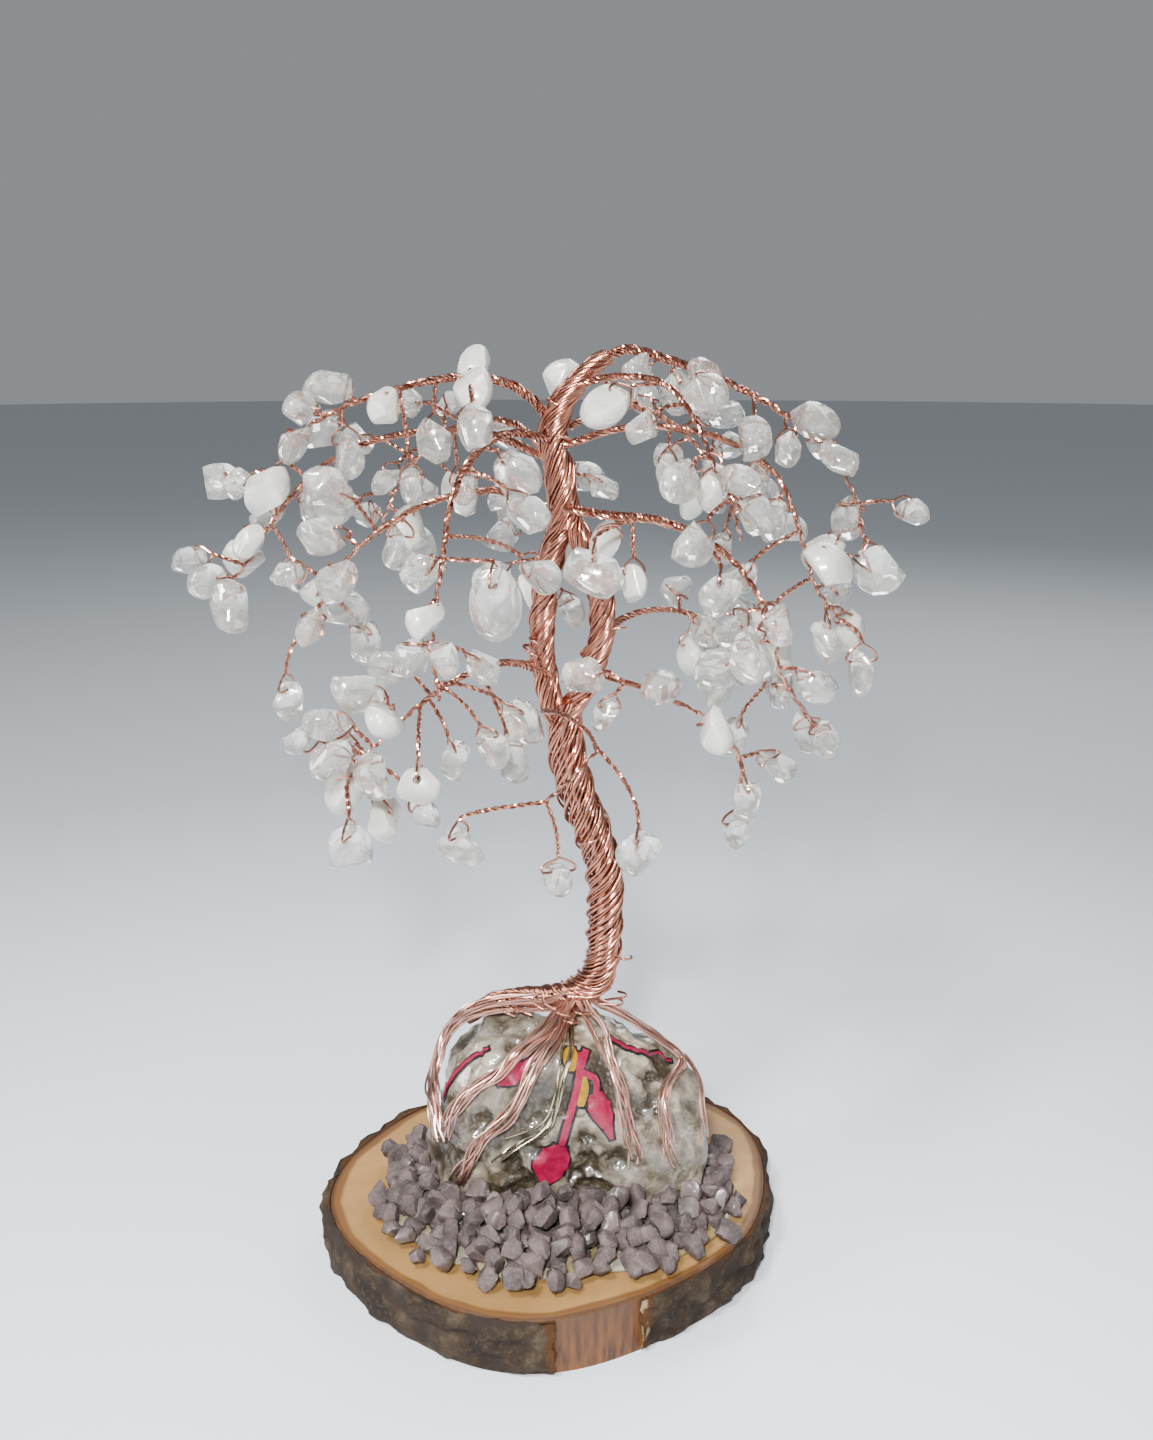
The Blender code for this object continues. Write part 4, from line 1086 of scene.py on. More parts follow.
def pendant_wire(pendant, thickness):
    """The wire that a chip hangs on, from its branch down and round through the chip's hole."""
    line = pendant_twig(pendant)
    centre = evenly(line, 0.5 * MM)
    there, back = twisted_pair(centre, thickness, HANGING_PITCH)
    half = (pendant.size[2] / 2 + 0.65) * MM
    axis = direction_of(pendant.heading, 0)
    top = loop_height(pendant.size)
    eye = Vector(pendant.hinge) * MM
    corner = 0.5 * MM
    loop = [eye + axis * across + UP * above for across, above in (
        (half * 0.75, top * 0.6), (half, corner), (half - corner, 0), (0, 0), (corner - half, 0),
        (-half, corner), (-half * 0.75, top * 0.6))]
    if (there[-1] - back[-1]).dot(axis) < 0:
        loop.reverse()
    loop = evenly([there[-1], *loop, back[-1]], 0.4 * MM)
    return there + loop[1:-1] + back[::-1]


def branch_wires(branch, thickness):
    """The twisted wires of a branch, fewer and closer together towards its end."""
    line = spaced(branch_line(branch), WIRE_STEP)
    frames, walked = cross_frames(line), lengths_along(line)
    count = 3 + round(3 * branch.radius)
    wires = []
    for number in range(count):
        stop = 1.0 if number < 2 else branch.stem + (0.95 - branch.stem) * (number - 1) / count
        last = max(4, round(stop * (len(line) - 1)))
        radii, turns, turn = [], [], 2 * math.pi * number / count
        for i in range(last + 1):
            share = i / (len(line) - 1)
            wander = noise.noise(Vector((number * 2.3, walked[i] / (7 * MM), len(branch.name))))
            wide = (0.85 * branch.radius * MM - 0.5 * thickness) * (0.9 + 0.25 * wander)
            radii.append(leaning(min(1.0, share * 1.15), wide, 0.55 * thickness))
            turns.append(turn + 0.5 * wander)
            turn += 2 * math.pi * 0.7 / leaning(share, 5.6, 3.0)
        wires.append(winding(line[:last + 1], frames[:last + 1], radii, turns))
    return wires


def root_wires(root, thickness):
    """The wires of a root: strands of three that wander over the rock and part at their ends."""
    line = root_line(root)
    from_trunk = root.route[0][1] > TRUNK_LIFT
    if from_trunk:
        foot, bend = in_metres(ROPES[0].route[1:3])
        line = [bend - UP * 2 * MM, foot, *line]
    line = evenly(line, WIRE_STEP)
    walked = lengths_along(line)
    strands = max(1, round(2.2 * root.radius ** 1.4))
    middle = ROCK_FOOT + UP * 0.35 * ROCK_HALF.z
    wires = []
    for number in range(3 * strands if root.radius > THIN_ROOT else 4):
        strand, member = divmod(number, 3)
        across = (strand + 0.5) / strands * 2 - 1
        pile = (strand * 2 % 3) * root.radius * 0.75 * MM if from_trunk else 0
        wire = []
        for i, point in enumerate(line):
            ahead = line[min(len(line) - 1, i + 1)] - line[max(0, i - 1)]
            outward = (point - middle).normalized()
            side = ahead.cross(outward).normalized()
            share, far = i / (len(line) - 1), walked[i]
            wander = noise.noise(Vector((strand * 5.1, far / (10 * MM), len(root.name))))
            jitter = noise.noise(Vector((number * 2.9, far / (5 * MM), 3.1)))
            turn = 2 * math.pi * (member / 3 + far / STRAND_PITCH) + strand
            flare = 1.5 - share if from_trunk else 1.0
            spread = root.radius * MM * (0.9 * flare + 0.8 * share * share)
            apart = thickness * (0.62 + 0.9 * share ** 3)
            wire.append(point + side * (across * spread + wander * 1.9 * MM * (0.25 + share)
                                        + apart * math.cos(turn) + jitter * 0.22 * MM)
                        + outward * (apart * math.sin(turn) + 0.25 * MM
                                     + abs(wander) * 0.5 * MM + pile * (1 - share) ** 1.5))
        wires.append(wire[:len(wire) - (number * 5) % 8])
    return wires


# Stones

CHIP_KINDS, STONE_KINDS = 10, 7


def cut_stone(name, cuts, seed, level, bevel):
    """A ball of radius 1 with flats cut from it at these distances and its edges rounded."""
    draw = random.Random(seed)
    made = new_primitive(bpy.ops.mesh.primitive_ico_sphere_add, name, subdivisions=level, radius=1)
    for distance in cuts:
        normal = Vector((draw.gauss(0, 1), draw.gauss(0, 1), draw.gauss(0, 1))).normalized()
        edit(made)
        bpy.ops.mesh.select_all(action="SELECT")
        bpy.ops.mesh.bisect(plane_co=normal * distance, plane_no=normal, use_fill=True,
                            clear_outer=True)
    object_mode()
    apply(made, "BEVEL", width=bevel, segments=2, limit_method="ANGLE",
          angle_limit=math.radians(24))
    soften(made, 38)
    return made


def chip_kinds():
    """Tumbled chips, from blocky to flat. Their hole runs along X and they hang along Z."""
    kinds = []
    for seed in range(CHIP_KINDS):
        cuts = [0.5 + 0.34 * ((seed * 5 + i * 3) % 7) / 6 for i in range(7)]
        kind = cut_stone("chip_kind", cuts, 100 + seed, level=4, bevel=0.16)
        apply(kind, "SMOOTH", factor=0.5, iterations=9)
        soften(kind, 70)
        low, high = mesh_box(kind.data)
        middle, span = (low + high) / 2, (high - low) / 2
        reshape(kind, lambda p, m=middle, s=span: Vector(((p.x - m.x) / s.x, (p.y - m.y) / s.y,
                                                           (p.z - m.z) / s.z)))
        kinds.append(kind)
    return kinds


def mesh_box(mesh):
    places = np.array([vertex.co for vertex in mesh.vertices])
    return Vector(places.min(axis=0)), Vector(places.max(axis=0))


def remove(objects):
    for made in objects:
        bpy.data.objects.remove(made)


def chip_matrix(twig):
    """Where a chip of half size 1 goes for a twig."""
    hole, width, up = chip_frame(twig.chip - twig.middle, twig.turn)
    length, broad, thick = twig.size
    axes = Matrix((hole * thick, width * broad, up * length)).transposed().to_4x4() * CHIP_GROWTH
    axes[3][3] = 1
    return Matrix.Translation(twig.chip) @ axes


def is_milky(branch, twig):
    given = len(branch.clear) + len(branch.milky)
    if twig.number < given:
        return twig.number >= len(branch.clear)
    return twig.number % 5 == 2


def rough_rock_point(direction, painted):
    """The rock's rough surface, smoother under its paint, and how hollow it is there."""
    point = rock_point(direction)
    lumps = noise.fractal(point / (9 * MM) + Vector((3, 1, 4)), 1.0, 2.1, 3)
    ridges = noise.ridged_multi_fractal(point / (15 * MM) + Vector((2, 7, 1)),
                                        1.0, 2.1, 4, 1.0, 2.0)
    grit = noise.fractal(point / (2.2 * MM), 0.9, 2.0, 3)
    hollow = max(0.0, min(1.0, 1.3 - ridges))
    warp = 1.9 * MM * noise.noise_vector(point / (3 * MM)) + MM * noise.noise_vector(point / MM)
    for pit, radius, depth in ROCK_PITS:
        near = (point + warp - Vector(pit) * MM).length / (radius * MM)
        hollow = max(hollow, math.exp(-near * near) * depth)
    _, _, paint = painted.find(point)
    plain = leaning(min(1.0, paint / (3.5 * MM)), 0.3, 1.0)
    inward = (ROCK_FOOT + UP * 0.3 * ROCK_HALF.z - point).normalized()
    moved = point + inward * plain * (hollow * 2.3 - lumps * 0.9 - grit * 0.3) * MM
    return moved, hollow


# How a stray end goes out, aside and up, in shares of how far it reaches
STRAY_CURL = ((0, 0, 0), (0.55, 0.25, 0.7), (1, 0.5, 1), (0.95, 0.9, 0.6), (0.6, 1.1, 0.1))

# The ends that stick out of a rope: where from, their heading, and how far out and up they reach.
STRAYS = {
    "trunk_lower": (
        ((3, 3, 50), 205, 4.5, 0.6), ((2, 4, 51), 190, 5, 1.2), ((3, 3, 49), 225, 5, 0.2),
        ((1, 5, 50), 175, 5, 1.6), ((-2, 6, 49), 185, 5.5, 1.0), ((-6, 6, 48.5), 190, 5, 1.2),
        ((4, 3, 50), 240, 4, 0.4), ((-4, 5, 49), 170, 4.5, 1.4), ((8, 3, 50), 325, 4, 0),
        ((8, 4, 50), 345, 5, 0.4), ((7, 5, 50), 20, 5, 0.6), ((4, 6, 50), 100, 5, 0.8),
        ((9.4, 3, 60), 300, 4.2, 0.6), ((7, 3, 86), 215, 4.2, -1)),
    "limb_left": (
        ((-2.2, 3, 121), 200, 4.5, 2), ((-2.4, 3, 123), 215, 4, 1.4), ((-2.2, 3, 119), 190, 4, 0.6),
        ((-1.5, 3, 135), 230, 3.4, 0.6)),
    "limb_right": (((8.8, 3, 125), 330, 3.4, 0.6), ((7.2, 3, 137), 350, 3.4, -0.8)),
    "trunk_upper": (((0, 3, 160), 250, 3.4, 0.8), ((1.4, 3, 166), 200, 3.4, 1)),
}

# A pit in the rock: its middle on the surface, its radius, and how deep it is from 0 to 1,
# which also sets how dark its painted shade is.
ROCK_PITS = (
    ((-15.2, -10.3, 32.2), 2.6, 1.2), ((-4.3, -12.2, 33.2), 3.0, 1.1),
    ((6.2, -11.8, 27.8), 2.2, 1.1), ((19, -4.7, 38.2), 2.4, 1.1), ((-8.8, -12.7, 23), 3.0, 1.2),
    ((18.8, -8, 34.8), 2.0, 1.0), ((-1.0, -11.5, 37.5), 1.8, 0.9), ((12.5, -11.5, 24), 3.0, 0.9),
    ((-5.5, -12.5, 28.5), 3.4, 0.9), ((-7, -11.5, 35), 2.2, 1.0), ((7, -12.2, 23), 3.2, 1.0),
    ((-16, -9, 25), 2.2, 0.9), ((14.5, -8.5, 40.5), 1.6, 0.9), ((4, -12.5, 20.5), 2.0, 1.0),
    ((-11, 18, 30), 3.2, 1.1), ((10, 20, 24), 3.4, 1.1), ((-22, 8, 26), 2.8, 1.0),
    ((28, 8, 30), 3.0, 1.0),
)

# Each paint, with how far its strokes reach past the brushwork and stand off the rock. Black lies
# under the others, as their outline.
PAINTS = (("magenta", 0, 0.17), ("yellow", 0, 0.12), ("black", 1.0, 0.02))

# Brushwork on the rock: paint, widths in millimetres along the stroke, and its points.
STROKES = (
    ("magenta", (1.3, 1.4, 1.3, 1.3, 1.4),
     ((5.8, -5.5, 44.3), (4.8, -8.5, 42.4), (4.2, -10.5, 39), (3, -11.7, 34.7), (2, -12.1, 31.2),
      (1.1, -12.3, 27.7))),
    ("magenta", (2.6, 6.2, 7.2, 6.0, 2.0),
     ((0.9, -12.3, 27.6), (0.2, -12.4, 26.0), (-0.7, -12.4, 24.2), (-1.7, -12.4, 21.6),
      (-2.4, -12.4, 20.0))),
    ("magenta", (1.1, 1.1, 1.2, 1.1),
     ((4.8, -6.4, 44.1), (4.4, -8.9, 42), (6.2, -9.1, 40.9), (7.7, -9.2, 39.9),
      (7.9, -10.5, 37.4))),
    ("magenta", (2.6, 4.8, 3.8, 1.9, 0.6),
     ((7.8, -10.4, 37.6), (8.4, -10.8, 35.6), (9.2, -11, 33.2), (10.0, -11, 30.8),
      (10.8, -11, 28.6))),
    ("magenta", (1.2, 1.2, 1.1, 1.1),
     ((-1.9, -5.1, 44.8), (-4.5, -7.7, 43.4), (-5.8, -8.1, 42.6), (-6.7, -8.5, 41.9))),
    ("magenta", (1.6, 4.0, 5.0, 3.8, 1.4),
     ((-6.0, -8.2, 42.3), (-7.4, -8.6, 41.8), (-8.9, -8.6, 41.0), (-10.3, -8.6, 40.0),
      (-11.4, -8.6, 39.0))),
    ("magenta", (0.5, 0.7, 0.7, 0.4),
     ((-14, -4, 45), (-18, -4, 41.5), (-21, -4, 37), (-22.5, -4, 33))),
    ("magenta", (0.5, 0.6, 0.6, 0.4),
     ((10, -2, 46), (15, -3, 44.5), (20, -2, 42.5), (23.5, 1, 40))),
    ("yellow", (1.2, 2.9, 2.9, 1.2),
     ((2.9, -5.6, 45.2), (2.8, -6.8, 44.4), (2.8, -8.0, 43.1), (2.8, -8.9, 41.6))),
    ("yellow", (1.0, 2.4, 2.5, 1.0),
     ((5.3, -9.2, 40.8), (5.2, -10.2, 39), (5.0, -10.9, 37), (4.8, -11.2, 35.4))),
)


def stroke_mesh(name, tree, points, widths, extra, lift):
    """A stroke of paint that lies on a surface: a strip of quads with the paint's thickness."""
    line = smooth(points, 0.4 * MM)
    made = new_primitive(bpy.ops.mesh.primitive_grid_add, name, x_subdivisions=6,
                         y_subdivisions=len(line) - 1, size=1)
    rows = {}
    for vertex in made.data.vertices:
        row = round((vertex.co.y + 0.5) * (len(line) - 1))
        rows.setdefault(row, []).append(vertex)
    for row, vertices in rows.items():
        place, normal, _, _ = tree.find_nearest(line[row])
        ahead = (line[min(row + 1, len(line) - 1)] - line[max(row - 1, 0)]).normalized()
        side = ahead.cross(normal).normalized()
        width = (along(widths, row / (len(line) - 1)) + extra) * MM
        ahead = ahead * extra * 0.5 * MM * ((row == len(line) - 1) - (row == 0))
        for vertex in vertices:
            goal = place + side * width * vertex.co.x + ahead
            found, away, _, _ = tree.find_nearest(goal)
            vertex.co = found + away * lift
    apply(made, "SOLIDIFY", thickness=0.35 * MM, offset=0)
    settle(made)
    soften(made, 60)
    return made


# What a user may change


class WireTreeSizes(bpy.types.PropertyGroup):
    wire: bpy.props.FloatProperty(
        name="Wire", description="Thickness of the wire", default=0.45 * MM, unit="LENGTH")
    bark_depth: bpy.props.FloatProperty(
        name="Bark depth", description="How deep the bark's cracks are", default=1.9 * MM,
        unit="LENGTH")
    stone: bpy.props.FloatProperty(
        name="Gravel stone", description="Half the width of a usual stone of the gravel",
        default=2.2 * MM, unit="LENGTH")


def colour_property(name, description, default):
    return bpy.props.FloatVectorProperty(name=name, description=description, default=default,
                                         subtype="COLOR", size=3, min=0, max=1)


class WireTreeColours(bpy.types.PropertyGroup):
    rose_wire: colour_property("Rose wire", "Rose gold wire", (0.72, 0.325, 0.225))
    gold_wire: colour_property("Gold wire", "The paler wire of one root", (0.74, 0.66, 0.46))
    wood: colour_property("Wood", "End grain of the slice", (0.27, 0.145, 0.043))
    golden_band: colour_property("Golden band", "The wood next to the bark", (0.10, 0.038, 0.005))
    bark_dark: colour_property("Dark bark", "Bark in its darker patches", (0.012, 0.008, 0.006))
    bark_pale: colour_property("Pale bark", "Bark in its paler patches", (0.056, 0.041, 0.026))
    rock_grey: colour_property("Grey rock", "The rock's grey masses", (0.105, 0.092, 0.074))
    rock_pale: colour_property("Pale rock", "The rock's beige masses", (0.36, 0.295, 0.21))
    # Brown that darkens to painted shade at the bottom of the rock's pits
    rock_hollow_shade: colour_property("Rock hollows", "The bottom of its pits", (0.026, 0.019, 0.009))
    gravel_dark: colour_property("Dark gravel", "The darker stones", (0.034, 0.024, 0.0225))
    gravel_pale: colour_property("Pale gravel", "The paler stones", (0.102, 0.073, 0.069))
    magenta: colour_property("Magenta", "Paint of the vines and leaves", (0.23, 0.0003, 0.03))
    yellow: colour_property("Yellow", "Paint of the dabs", (0.30, 0.155, 0.0015))
    clearness: bpy.props.FloatProperty(
        name="Clearness", description="How much light passes through a clear chip", default=0.9,
        subtype="FACTOR", min=0, max=1)


class PieceOperator(bpy.types.Operator):
    """Makes a piece of the wire tree"""
    bl_options = {"REGISTER", "UNDO"}

    def execute(self, context):
        self.make()
        return {"FINISHED"}


class WIRETREE_OT_slice(PieceOperator):
    """Saws the slice of wood: a round of end grain that bulges as its trunk did"""
    bl_idname = "wire_tree.slice"
    bl_label = "Wood slice"

    def make(self):
        made = new_primitive(bpy.ops.mesh.primitive_cylinder_add, "wood_slice", vertices=240,
                             radius=1, depth=SLICE_TOP, end_fill_type="NGON",
                             location=(0, 0, SLICE_TOP / 2))
        settle(made)
        shape = edit(made)
        for face in shape.faces:
            face.select_set(abs(face.normal.z) > 0.9)
        for inset in (0.02, 0.02, 0.04, 0.12, 0.25, 0.3):
            bpy.ops.mesh.inset(thickness=inset)
        bpy.ops.mesh.poke()
        object_mode()
        inset = BARK_THICKNESS + 0.15 * MM
        reaches = [min(1.0, math.hypot(v.co.x, v.co.y)) for v in made.data.vertices]

        def onto_rim(point):
            share = math.hypot(point.x, point.y)
            sawn = 0.1 * MM * noise.noise(Vector((point.x * 3, point.y * 40, 2)))
            edge = rim(math.atan2(point.y, point.x), inset)
            high = point.z > SLICE_TOP / 2
            worn = -0.35 * MM * max(0.0, share - 0.985) / 0.015
            return Vector((edge.x * share, edge.y * share,
                           point.z + (sawn + worn) * (1 if high else 0)))

        reshape(made, onto_rim)
        store(made, "reach", reaches)
        store(made, "side", [min(1.0, max(0.0, (SLICE_TOP - 0.2 * MM - v.co.z) / (0.6 * MM)))
                             for v in made.data.vertices])
        soften(made, 40)
        keep(made, "sawn_slice", "end_grain", "pale_wood", "wood_slice")


def bark_relief(height, around):
    """How far in from its outside the bark is, from 0 on a ridge to 1 in a crack."""
    place = Vector((math.cos(around) * 46, math.sin(around) * 46, height / MM * 0.42))
    warped = place + 1.6 * noise.noise_vector(place * 0.16)
    plates = noise.voronoi(warped * 0.27)[0]
    crack = (1 - min(1.0, (plates[1] - plates[0]) * 2.4)) ** 1.5
    rough = noise.fractal(place * 0.55, 0.8, 2.0, 4)
    broad = noise.noise(place * 0.09)
    return max(0.0, min(1.2, 0.8 * crack + 0.34 * rough - 0.4 * broad + 0.12))


class WIRETREE_OT_bark(PieceOperator):
    """Wraps the slice in cracked bark, with a bare stretch where some has come off"""
    bl_idname = "wire_tree.bark"
    bl_label = "Bark"

    def make(self):
        start, end = math.radians(BARE_TO), math.radians(BARE_FROM + 360)
        made = new_primitive(bpy.ops.mesh.primitive_cube_add, "bark", size=1)
        for axis, cuts in BARK_CUTS:
            shape = edit(made, "EDGE")
            for edge in shape.edges:
                run = edge.verts[1].co - edge.verts[0].co
                edge.select_set(abs(run[axis]) > 0.9 * run.length)
            bmesh.update_edit_mesh(made.data)
            bpy.ops.mesh.subdivide(number_cuts=cuts)
        object_mode()
        hollows, inners, torn = [], [], []

        def wrap(point):
            share = point.x + 0.5
            depth = 0.5 - point.y
            around = start + (end - start) * share
            ragged = 1.2 * MM * noise.noise(Vector((share * 3, point.y * 3, point.z * 5)))
            around += ragged / SLICE_RADIUS * (1 - min(1.0, 40 * min(share, 1 - share)))
            height = CLEARANCE + (point.z + 0.5) * (SLICE_TOP - CLEARANCE)
            relief = bark_relief(height, around)
            edge = 2 * abs(point.z)
            rounding = 0.5 * MM * edge ** 6
            taper = 0.9 * MM * (0.5 - point.z) ** 3
            out = (1 - depth) * (relief * sizes().bark_depth + rounding + taper)
            lip = MM * noise.noise(Vector((around * 30, depth * 2, 9))) * max(0.0, point.z)
            # How deep each crack is, for the painted shade in it
            hollows.append(relief if depth < 0.9 else 0)
            inners.append(depth * (point.z > 0.45) + (share < 0.002 or share > 0.998))
            torn.append(max(0.0, 1 - share / 0.008)
                        * (0.5 + 1.2 * noise.noise(Vector((3, depth * 2, point.z * 4)))))
            place = rim(around, depth * BARK_THICKNESS + out)
            return Vector((place.x, place.y, height + lip - 0.3 * MM * depth * (point.z > 0.45)))

        reshape(made, wrap)
        store(made, "hollow", hollows)
        store(made, "inner", inners)
        store(made, "torn", torn)
        settle(made)
        soften(made, 50)
        keep(made, "bark_ring", "cracked_bark", "bark", "bark_rim")


class WIRETREE_OT_glue(PieceOperator):
    """Pours the glue under the rock and the gravel, with a lobed edge"""
    bl_idname = "wire_tree.glue"
    bl_label = "Glue"

    def make(self):
        made = new_primitive(bpy.ops.mesh.primitive_cylinder_add, "glue", vertices=160, radius=1,
                             depth=1, end_fill_type="NGON")
        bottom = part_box("glue_pool")[0].z

        def pour(point):
            turn = math.degrees(math.atan2(point.y, point.x))
            angle = (turn - GRAVEL_FROM) % 360 + GRAVEL_FROM
            reach = gravel_reach(angle) if angle <= GRAVEL_TO else GRAVEL_REACH[-1][1] * MM
            lobe = noise.noise(Vector((point.x * 4, point.y * 4, 2.2)))
            edge = beside_rock(angle, 0.8 * reach + 1.6 * MM * lobe)
            return Vector((edge.x, edge.y, bottom + (0.9 * MM if point.z > 0 else -0.2 * MM)))

        reshape(made, pour)
        apply(made, "BEVEL", width=0.45 * MM, segments=3, limit_method="ANGLE",
              angle_limit=math.radians(60))
        settle(made)
        soften(made, 60)
        keep(made, "poured_glue", "hardened_glue", "clear_glue", "glue_pool")


class WIRETREE_OT_rock(PieceOperator):
    """Roughens the rock and brushes its vines and leaves on it"""
    bl_idname = "wire_tree.rock"
    bl_label = "Painted rock"

    def make(self):
        made = new_primitive(bpy.ops.mesh.primitive_ico_sphere_add, "rock", subdivisions=7,
                             radius=1)
        edit(made)
        bpy.ops.mesh.select_all(action="SELECT")
        bpy.ops.mesh.bisect(plane_co=(0, 0, 0), plane_no=(0, 0, -1), use_fill=True,
                            clear_outer=True)
        object_mode()
        brushed = [point for _, _, points in STROKES
                   for point in curve_through(in_metres(points))]
        painted = KDTree(len(brushed))
        for number, point in enumerate(brushed):
            painted.insert(point, number)
        painted.balance()
        hollows = []

        def roughen(point):
            if point.z < 0.001:
                flat = rock_point(Vector((point.x, point.y, 0)).normalized())
                hollows.append(0)
                share = math.hypot(point.x, point.y)
                return Vector((ROCK_FOOT.x + (flat.x - ROCK_FOOT.x) * share,
                               ROCK_FOOT.y + (flat.y - ROCK_FOOT.y) * share, GROUND))
            place, hollow = rough_rock_point(point.normalized(), painted)
            hollows.append(hollow)
            place.z = max(GROUND, place.z)
            return place

        reshape(made, roughen)
        # How hollow each place is, for the painted shade in the rock's hollows
        store(made, "hollow", hollows)
        soften(made, 70)
        keep(made, "rough_rock", "weathered_rock", "varnished_rock", "feature_rock")
        tree = BVHTree.FromPolygons([v.co for v in made.data.vertices],
                                    [p.vertices[:] for p in made.data.polygons])
        for paint, outline, lift in PAINTS:
            strokes = [
                stroke_mesh("stroke", tree, points, widths, outline, lift * MM)
                for kind, widths, points in STROKES if paint in (kind, "black")]
            meshes = [stroke.data.copy() for stroke in strokes]
            remove(strokes)
            layer = merged(paint + "_layer", meshes)
            soften(layer, 60)
            keep(layer, paint + "_strokes", paint + "_paint", "varnished_rock")


class WIRETREE_OT_gravel(PieceOperator):
    """Heaps gravel round the front of the rock, in three banks"""
    bl_idname = "wire_tree.gravel"
    bl_label = "Gravel"

    def make(self):
        kinds = []
        for seed in range(STONE_KINDS):
            cuts = [0.52 + 0.28 * ((seed * 3 + i * 5) % 7) / 6 for i in range(10)]
            kind = cut_stone("stone_kind", cuts, 300 + seed, level=3, bevel=0.035)
            kind.data.transform(Matrix.Diagonal((1.15, 0.95, 0.85, 1)))
            reshape(kind, lambda p, s=seed: p * (1 + 0.16 * noise.fractal(
                p * 2.4 + Vector((s, 0, 0)), 0.8, 2.0, 3)))
            kinds.append(kind)
        for name, first, last in GRAVEL_SECTORS:
            meshes = [placed_copy(kinds[number % len(kinds)].data, matrix)
                      for number, matrix in enumerate(heap(first, last))]
            bank = merged(name, meshes)
            soften(bank, 45)
            keep(bank, name.replace("gravel", "gravel_bank"), "crushed_gravel", "mauve_gravel",
                 name)
        remove(kinds)


def heap(first, last):
    """Where each stone of a bank of gravel lies, and how it is turned and sized."""
    found = []
    draw = random.Random(first)
    spacing = GRAVEL_SPACING * sizes().stone
    for layer in range(GRAVEL_LAYERS):
        for row in range(GRAVEL_ROWS):
            distance = (row + 0.1 + 0.45 * layer) * spacing
            round_rock = 22 * MM + distance
            count = max(1, round(math.radians(last - first) * round_rock / spacing))
            for i in range(count):
                angle = first + (last - first) * (i + 0.5 * (row % 2) + 0.25) / count
                reach = gravel_reach(angle) + 0.3 * spacing - layer * 1.5 * spacing
                top = layer == GRAVEL_LAYERS - 1
                if distance > reach or (top and draw.random() < 0.4):
                    continue
                radius = sizes().stone * draw.uniform(0.8, 1.28)
                place = beside_rock(angle + draw.uniform(-1.6, 1.6),
                                    distance + draw.uniform(-0.18, 0.18) * spacing)
                place.z = GROUND + radius * 0.62 + layer * 2.3 * MM + draw.uniform(0, 0.5) * MM
                turn = Matrix.Identity(3)
                for axis in "XYZ":
                    turn = turn @ Matrix.Rotation(draw.uniform(0, 2 * math.pi), 3, axis)
                found.append(Matrix.LocRotScale(place, turn, Vector((radius, radius, radius))))
    return found


class WIRETREE_OT_roots(PieceOperator):
    """Spreads the lower ends of the wires over the rock as roots"""
    bl_idname = "wire_tree.roots"
    bl_label = "Roots"

    def make(self):
        wire = sizes().wire
        for root in ROOTS:
            made = wire_object(root.name, root_wires(root, wire), wire)
            keep(made, root.name.replace("root", "root_wires"), ROOT_FINISHES[root.wire], root.wire,
                 root.name)


class WIRETREE_OT_trunk(PieceOperator):
    """Twists the ropes of the trunk from many wires"""
    bl_idname = "wire_tree.trunk"
    bl_label = "Trunk"

    def make(self):
        wire = ROPE_WIRE * sizes().wire
        for rope in ROPES:
            wires = rope_wires(rope, wire)
            if rope is ROPES[0]:
                wires += rope_wires(SADDLE, wire)
            strays = stray_wires(rope)
            core, thick = rope_core(rope)
            made = wire_object(rope.name, wires + strays + [core], wire, sides=2,
                               tapers=[1.0] * (len(wires) + len(strays)) + [thick / wire])
            keep(made, rope.name + "_wires", "rose_gold_copper", "rose_wire", rope.name)


class WIRETREE_OT_branches(PieceOperator):
    """Twists the branches and the twigs, whose wires run through the chips and back"""
    bl_idname = "wire_tree.branches"
    bl_label = "Branches"

    def make(self):
        wire = sizes().wire
        for branch in BRANCHES:
            wires = branch_wires(branch, wire)
            wires += [threaded_twig(twig, wire) for twig in place_twigs()
                      if twig.branch == branch.name]
            wires += [pendant_wire(pendant, wire) for pendant in PENDANTS
                      if pendant.branch == branch.name]
            made = wire_object(branch.name, wires, wire)
            keep(made, "wires_" + branch.name, "rose_gold_copper", "rose_wire",
                 "stem_" + branch.name)


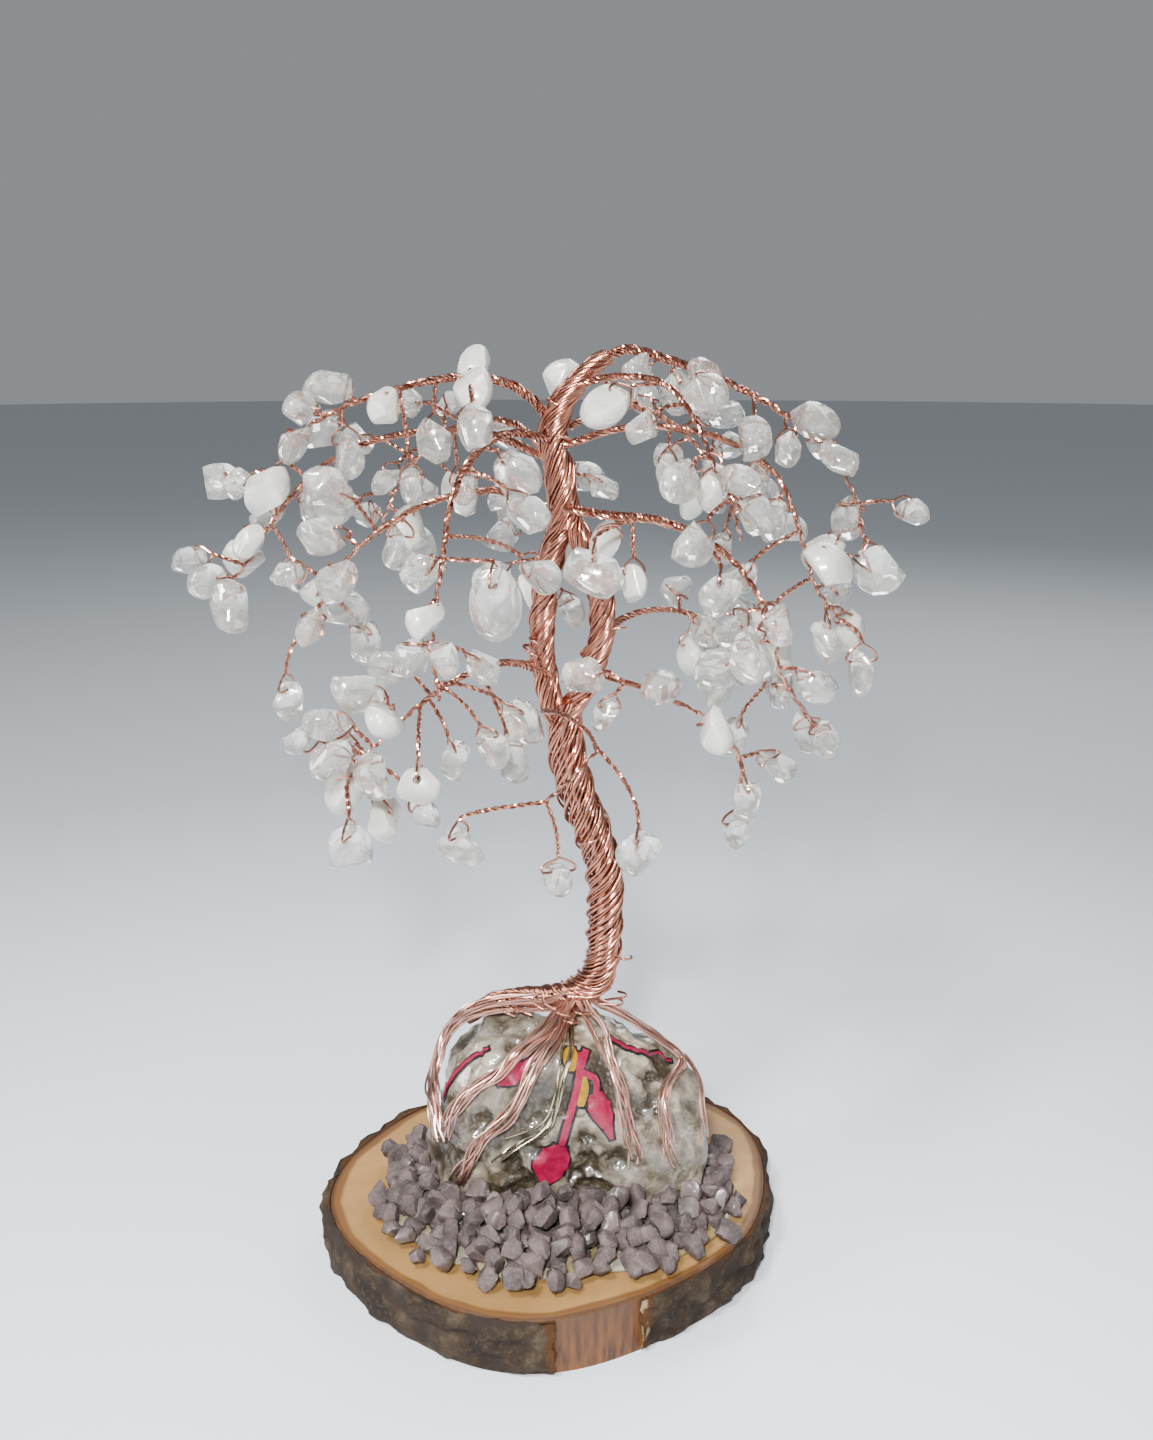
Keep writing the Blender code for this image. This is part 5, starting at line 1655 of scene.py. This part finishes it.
class WIRETREE_OT_chips(PieceOperator):
    """Threads the stone chips on the twigs"""
    bl_idname = "wire_tree.chips"
    bl_label = "Stone chips"

    def make(self):
        kinds = chip_kinds()
        milky = []
        for branch in BRANCHES:
            clear = []
            own = [twig for twig in place_twigs() if twig.branch == branch.name]
            for number, twig in enumerate(own):
                kind = kinds[(number * 3 + len(branch.name)) % len(kinds)].data
                copy = placed_copy(kind, chip_matrix(twig))
                (milky if is_milky(branch, twig) else clear).append(copy)
            if clear:
                made = merged("chips_" + branch.name, clear)
                soften(made, 70)
                keep(made, "chips_" + branch.name, "clear_quartz", "quartz_chip",
                     "spray_" + branch.name)
            else:
                self.stand_in(branch)
        made = merged("milky_chips", milky)
        soften(made, 70)
        keep(made, "milky_chips", "milky_quartz", "quartz_chip")
        self.hang(kinds)
        remove(kinds)

    def stand_in(self, branch):
        """A spray that only carries hanging chips is all wire."""
        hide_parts("spray_" + branch.name)

    def hang(self, kinds):
        """The chips that swing, each drilled for its loop."""
        for number, pendant in enumerate(PENDANTS):
            length, width, thick = (side * MM / 2 for side in pendant.size)
            kind = kinds[(number * 7 + 2) % len(kinds)]
            made = merged(pendant.name, [kind.data.copy()])
            made.data.transform(Matrix.Diagonal((thick, width, length, 1)))
            made.data.transform(Matrix.Translation((0, 0, -2 * HOLE_SHARE * length)))
            drill = new_primitive(bpy.ops.mesh.primitive_cylinder_add, "drill", vertices=16,
                                  radius=HOLE_RADIUS, depth=4 * thick,
                                  rotation=(0, math.pi / 2, 0))
            apply(made, "BOOLEAN", operation="DIFFERENCE", object=drill, solver="EXACT")
            bpy.data.objects.remove(drill)
            made.data.transform(Matrix.Translation(Vector(pendant.hinge) * MM)
                                @ Matrix.Rotation(math.radians(pendant.heading), 4, "Z"))
            soften(made, 60)
            finish = "milky_quartz" if "milky" in pendant.name else "clear_quartz"
            keep(made, pendant.name.replace("pendant", "hanging_chip"), finish, "quartz_chip",
                 pendant.name, body=pendant.name + "_body")


class WIRETREE_OT_stage(PieceOperator):
    """Sets the floor, the lights and the camera"""
    bl_idname = "wire_tree.stage"
    bl_label = "Stage"

    def make(self):
        floor = new_primitive(bpy.ops.mesh.primitive_circle_add, "floor", vertices=96, radius=4,
                              fill_type="TRIFAN")
        finish = Finish("floor", Roughness=0.35)
        away = finish.node("ShaderNodeVectorMath", {"operation": "LENGTH"}, {0: finish.where}, 1)
        # A painted pool of light: the floor is paler near the tree and darker away from it.
        finish.set(Base_Color=finish.ramp(away, *FLOOR_LIGHT_POOL))
        floor.data.materials.append(finish.material)
        world = bpy.data.worlds.new("studio")
        world.use_nodes = True
        background = world.node_tree.nodes["Background"].inputs
        background["Color"].default_value = SKY_COLOUR
        background["Strength"].default_value = SKY_STRENGTH
        bpy.context.scene.world = world
        for name, place, size, energy in LIGHTS:
            bpy.ops.object.light_add(type="AREA", location=place)
            light = bpy.context.object
            light.name = light.data.name = name
            light.data.size = size
            light.data.energy = energy
            light.rotation_euler = (LIGHTS_AIM - Vector(place)).to_track_quat("-Z", "Y").to_euler()
        bpy.ops.object.camera_add(location=CAMERA_PLACE, rotation=(CAMERA_TILT, 0, 0))
        camera = bpy.context.object
        camera.name = "camera"
        camera.data.sensor_width = 36
        camera.data.lens = CAMERA_LENS
        camera.data.clip_start = 0.005
        bpy.context.scene.camera = camera


STEPS = (WIRETREE_OT_slice, WIRETREE_OT_bark, WIRETREE_OT_glue, WIRETREE_OT_rock,
         WIRETREE_OT_gravel, WIRETREE_OT_roots, WIRETREE_OT_trunk, WIRETREE_OT_branches,
         WIRETREE_OT_chips, WIRETREE_OT_stage)


class VIEW3D_PT_wire_tree(bpy.types.Panel):
    """The steps and settings of the wire tree"""
    bl_label = "Wire Tree"
    bl_idname = "VIEW3D_PT_wire_tree"
    bl_space_type = "VIEW_3D"
    bl_region_type = "UI"
    bl_category = "Wire Tree"

    def draw(self, context):
        for group in (context.scene.wire_tree_sizes, context.scene.wire_tree_colours):
            for name in group.__annotations__:
                self.layout.prop(group, name)
        for step in STEPS:
            self.layout.operator(step.bl_idname)


CLASSES = (WireTreeSizes, WireTreeColours, *STEPS, VIEW3D_PT_wire_tree)


def register():
    for made in CLASSES:
        bpy.utils.register_class(made)
    bpy.types.Scene.wire_tree_sizes = bpy.props.PointerProperty(type=WireTreeSizes)
    bpy.types.Scene.wire_tree_colours = bpy.props.PointerProperty(type=WireTreeColours)


def unregister():
    del bpy.types.Scene.wire_tree_colours
    del bpy.types.Scene.wire_tree_sizes
    for made in reversed(CLASSES):
        bpy.utils.unregister_class(made)


def main():
    register()
    for step in STEPS:
        group, name = step.bl_idname.split(".")
        getattr(getattr(bpy.ops, group), name)()
    object_mode()
    bpy.context.view_layer.update()


if __name__ == "__main__":
    main()
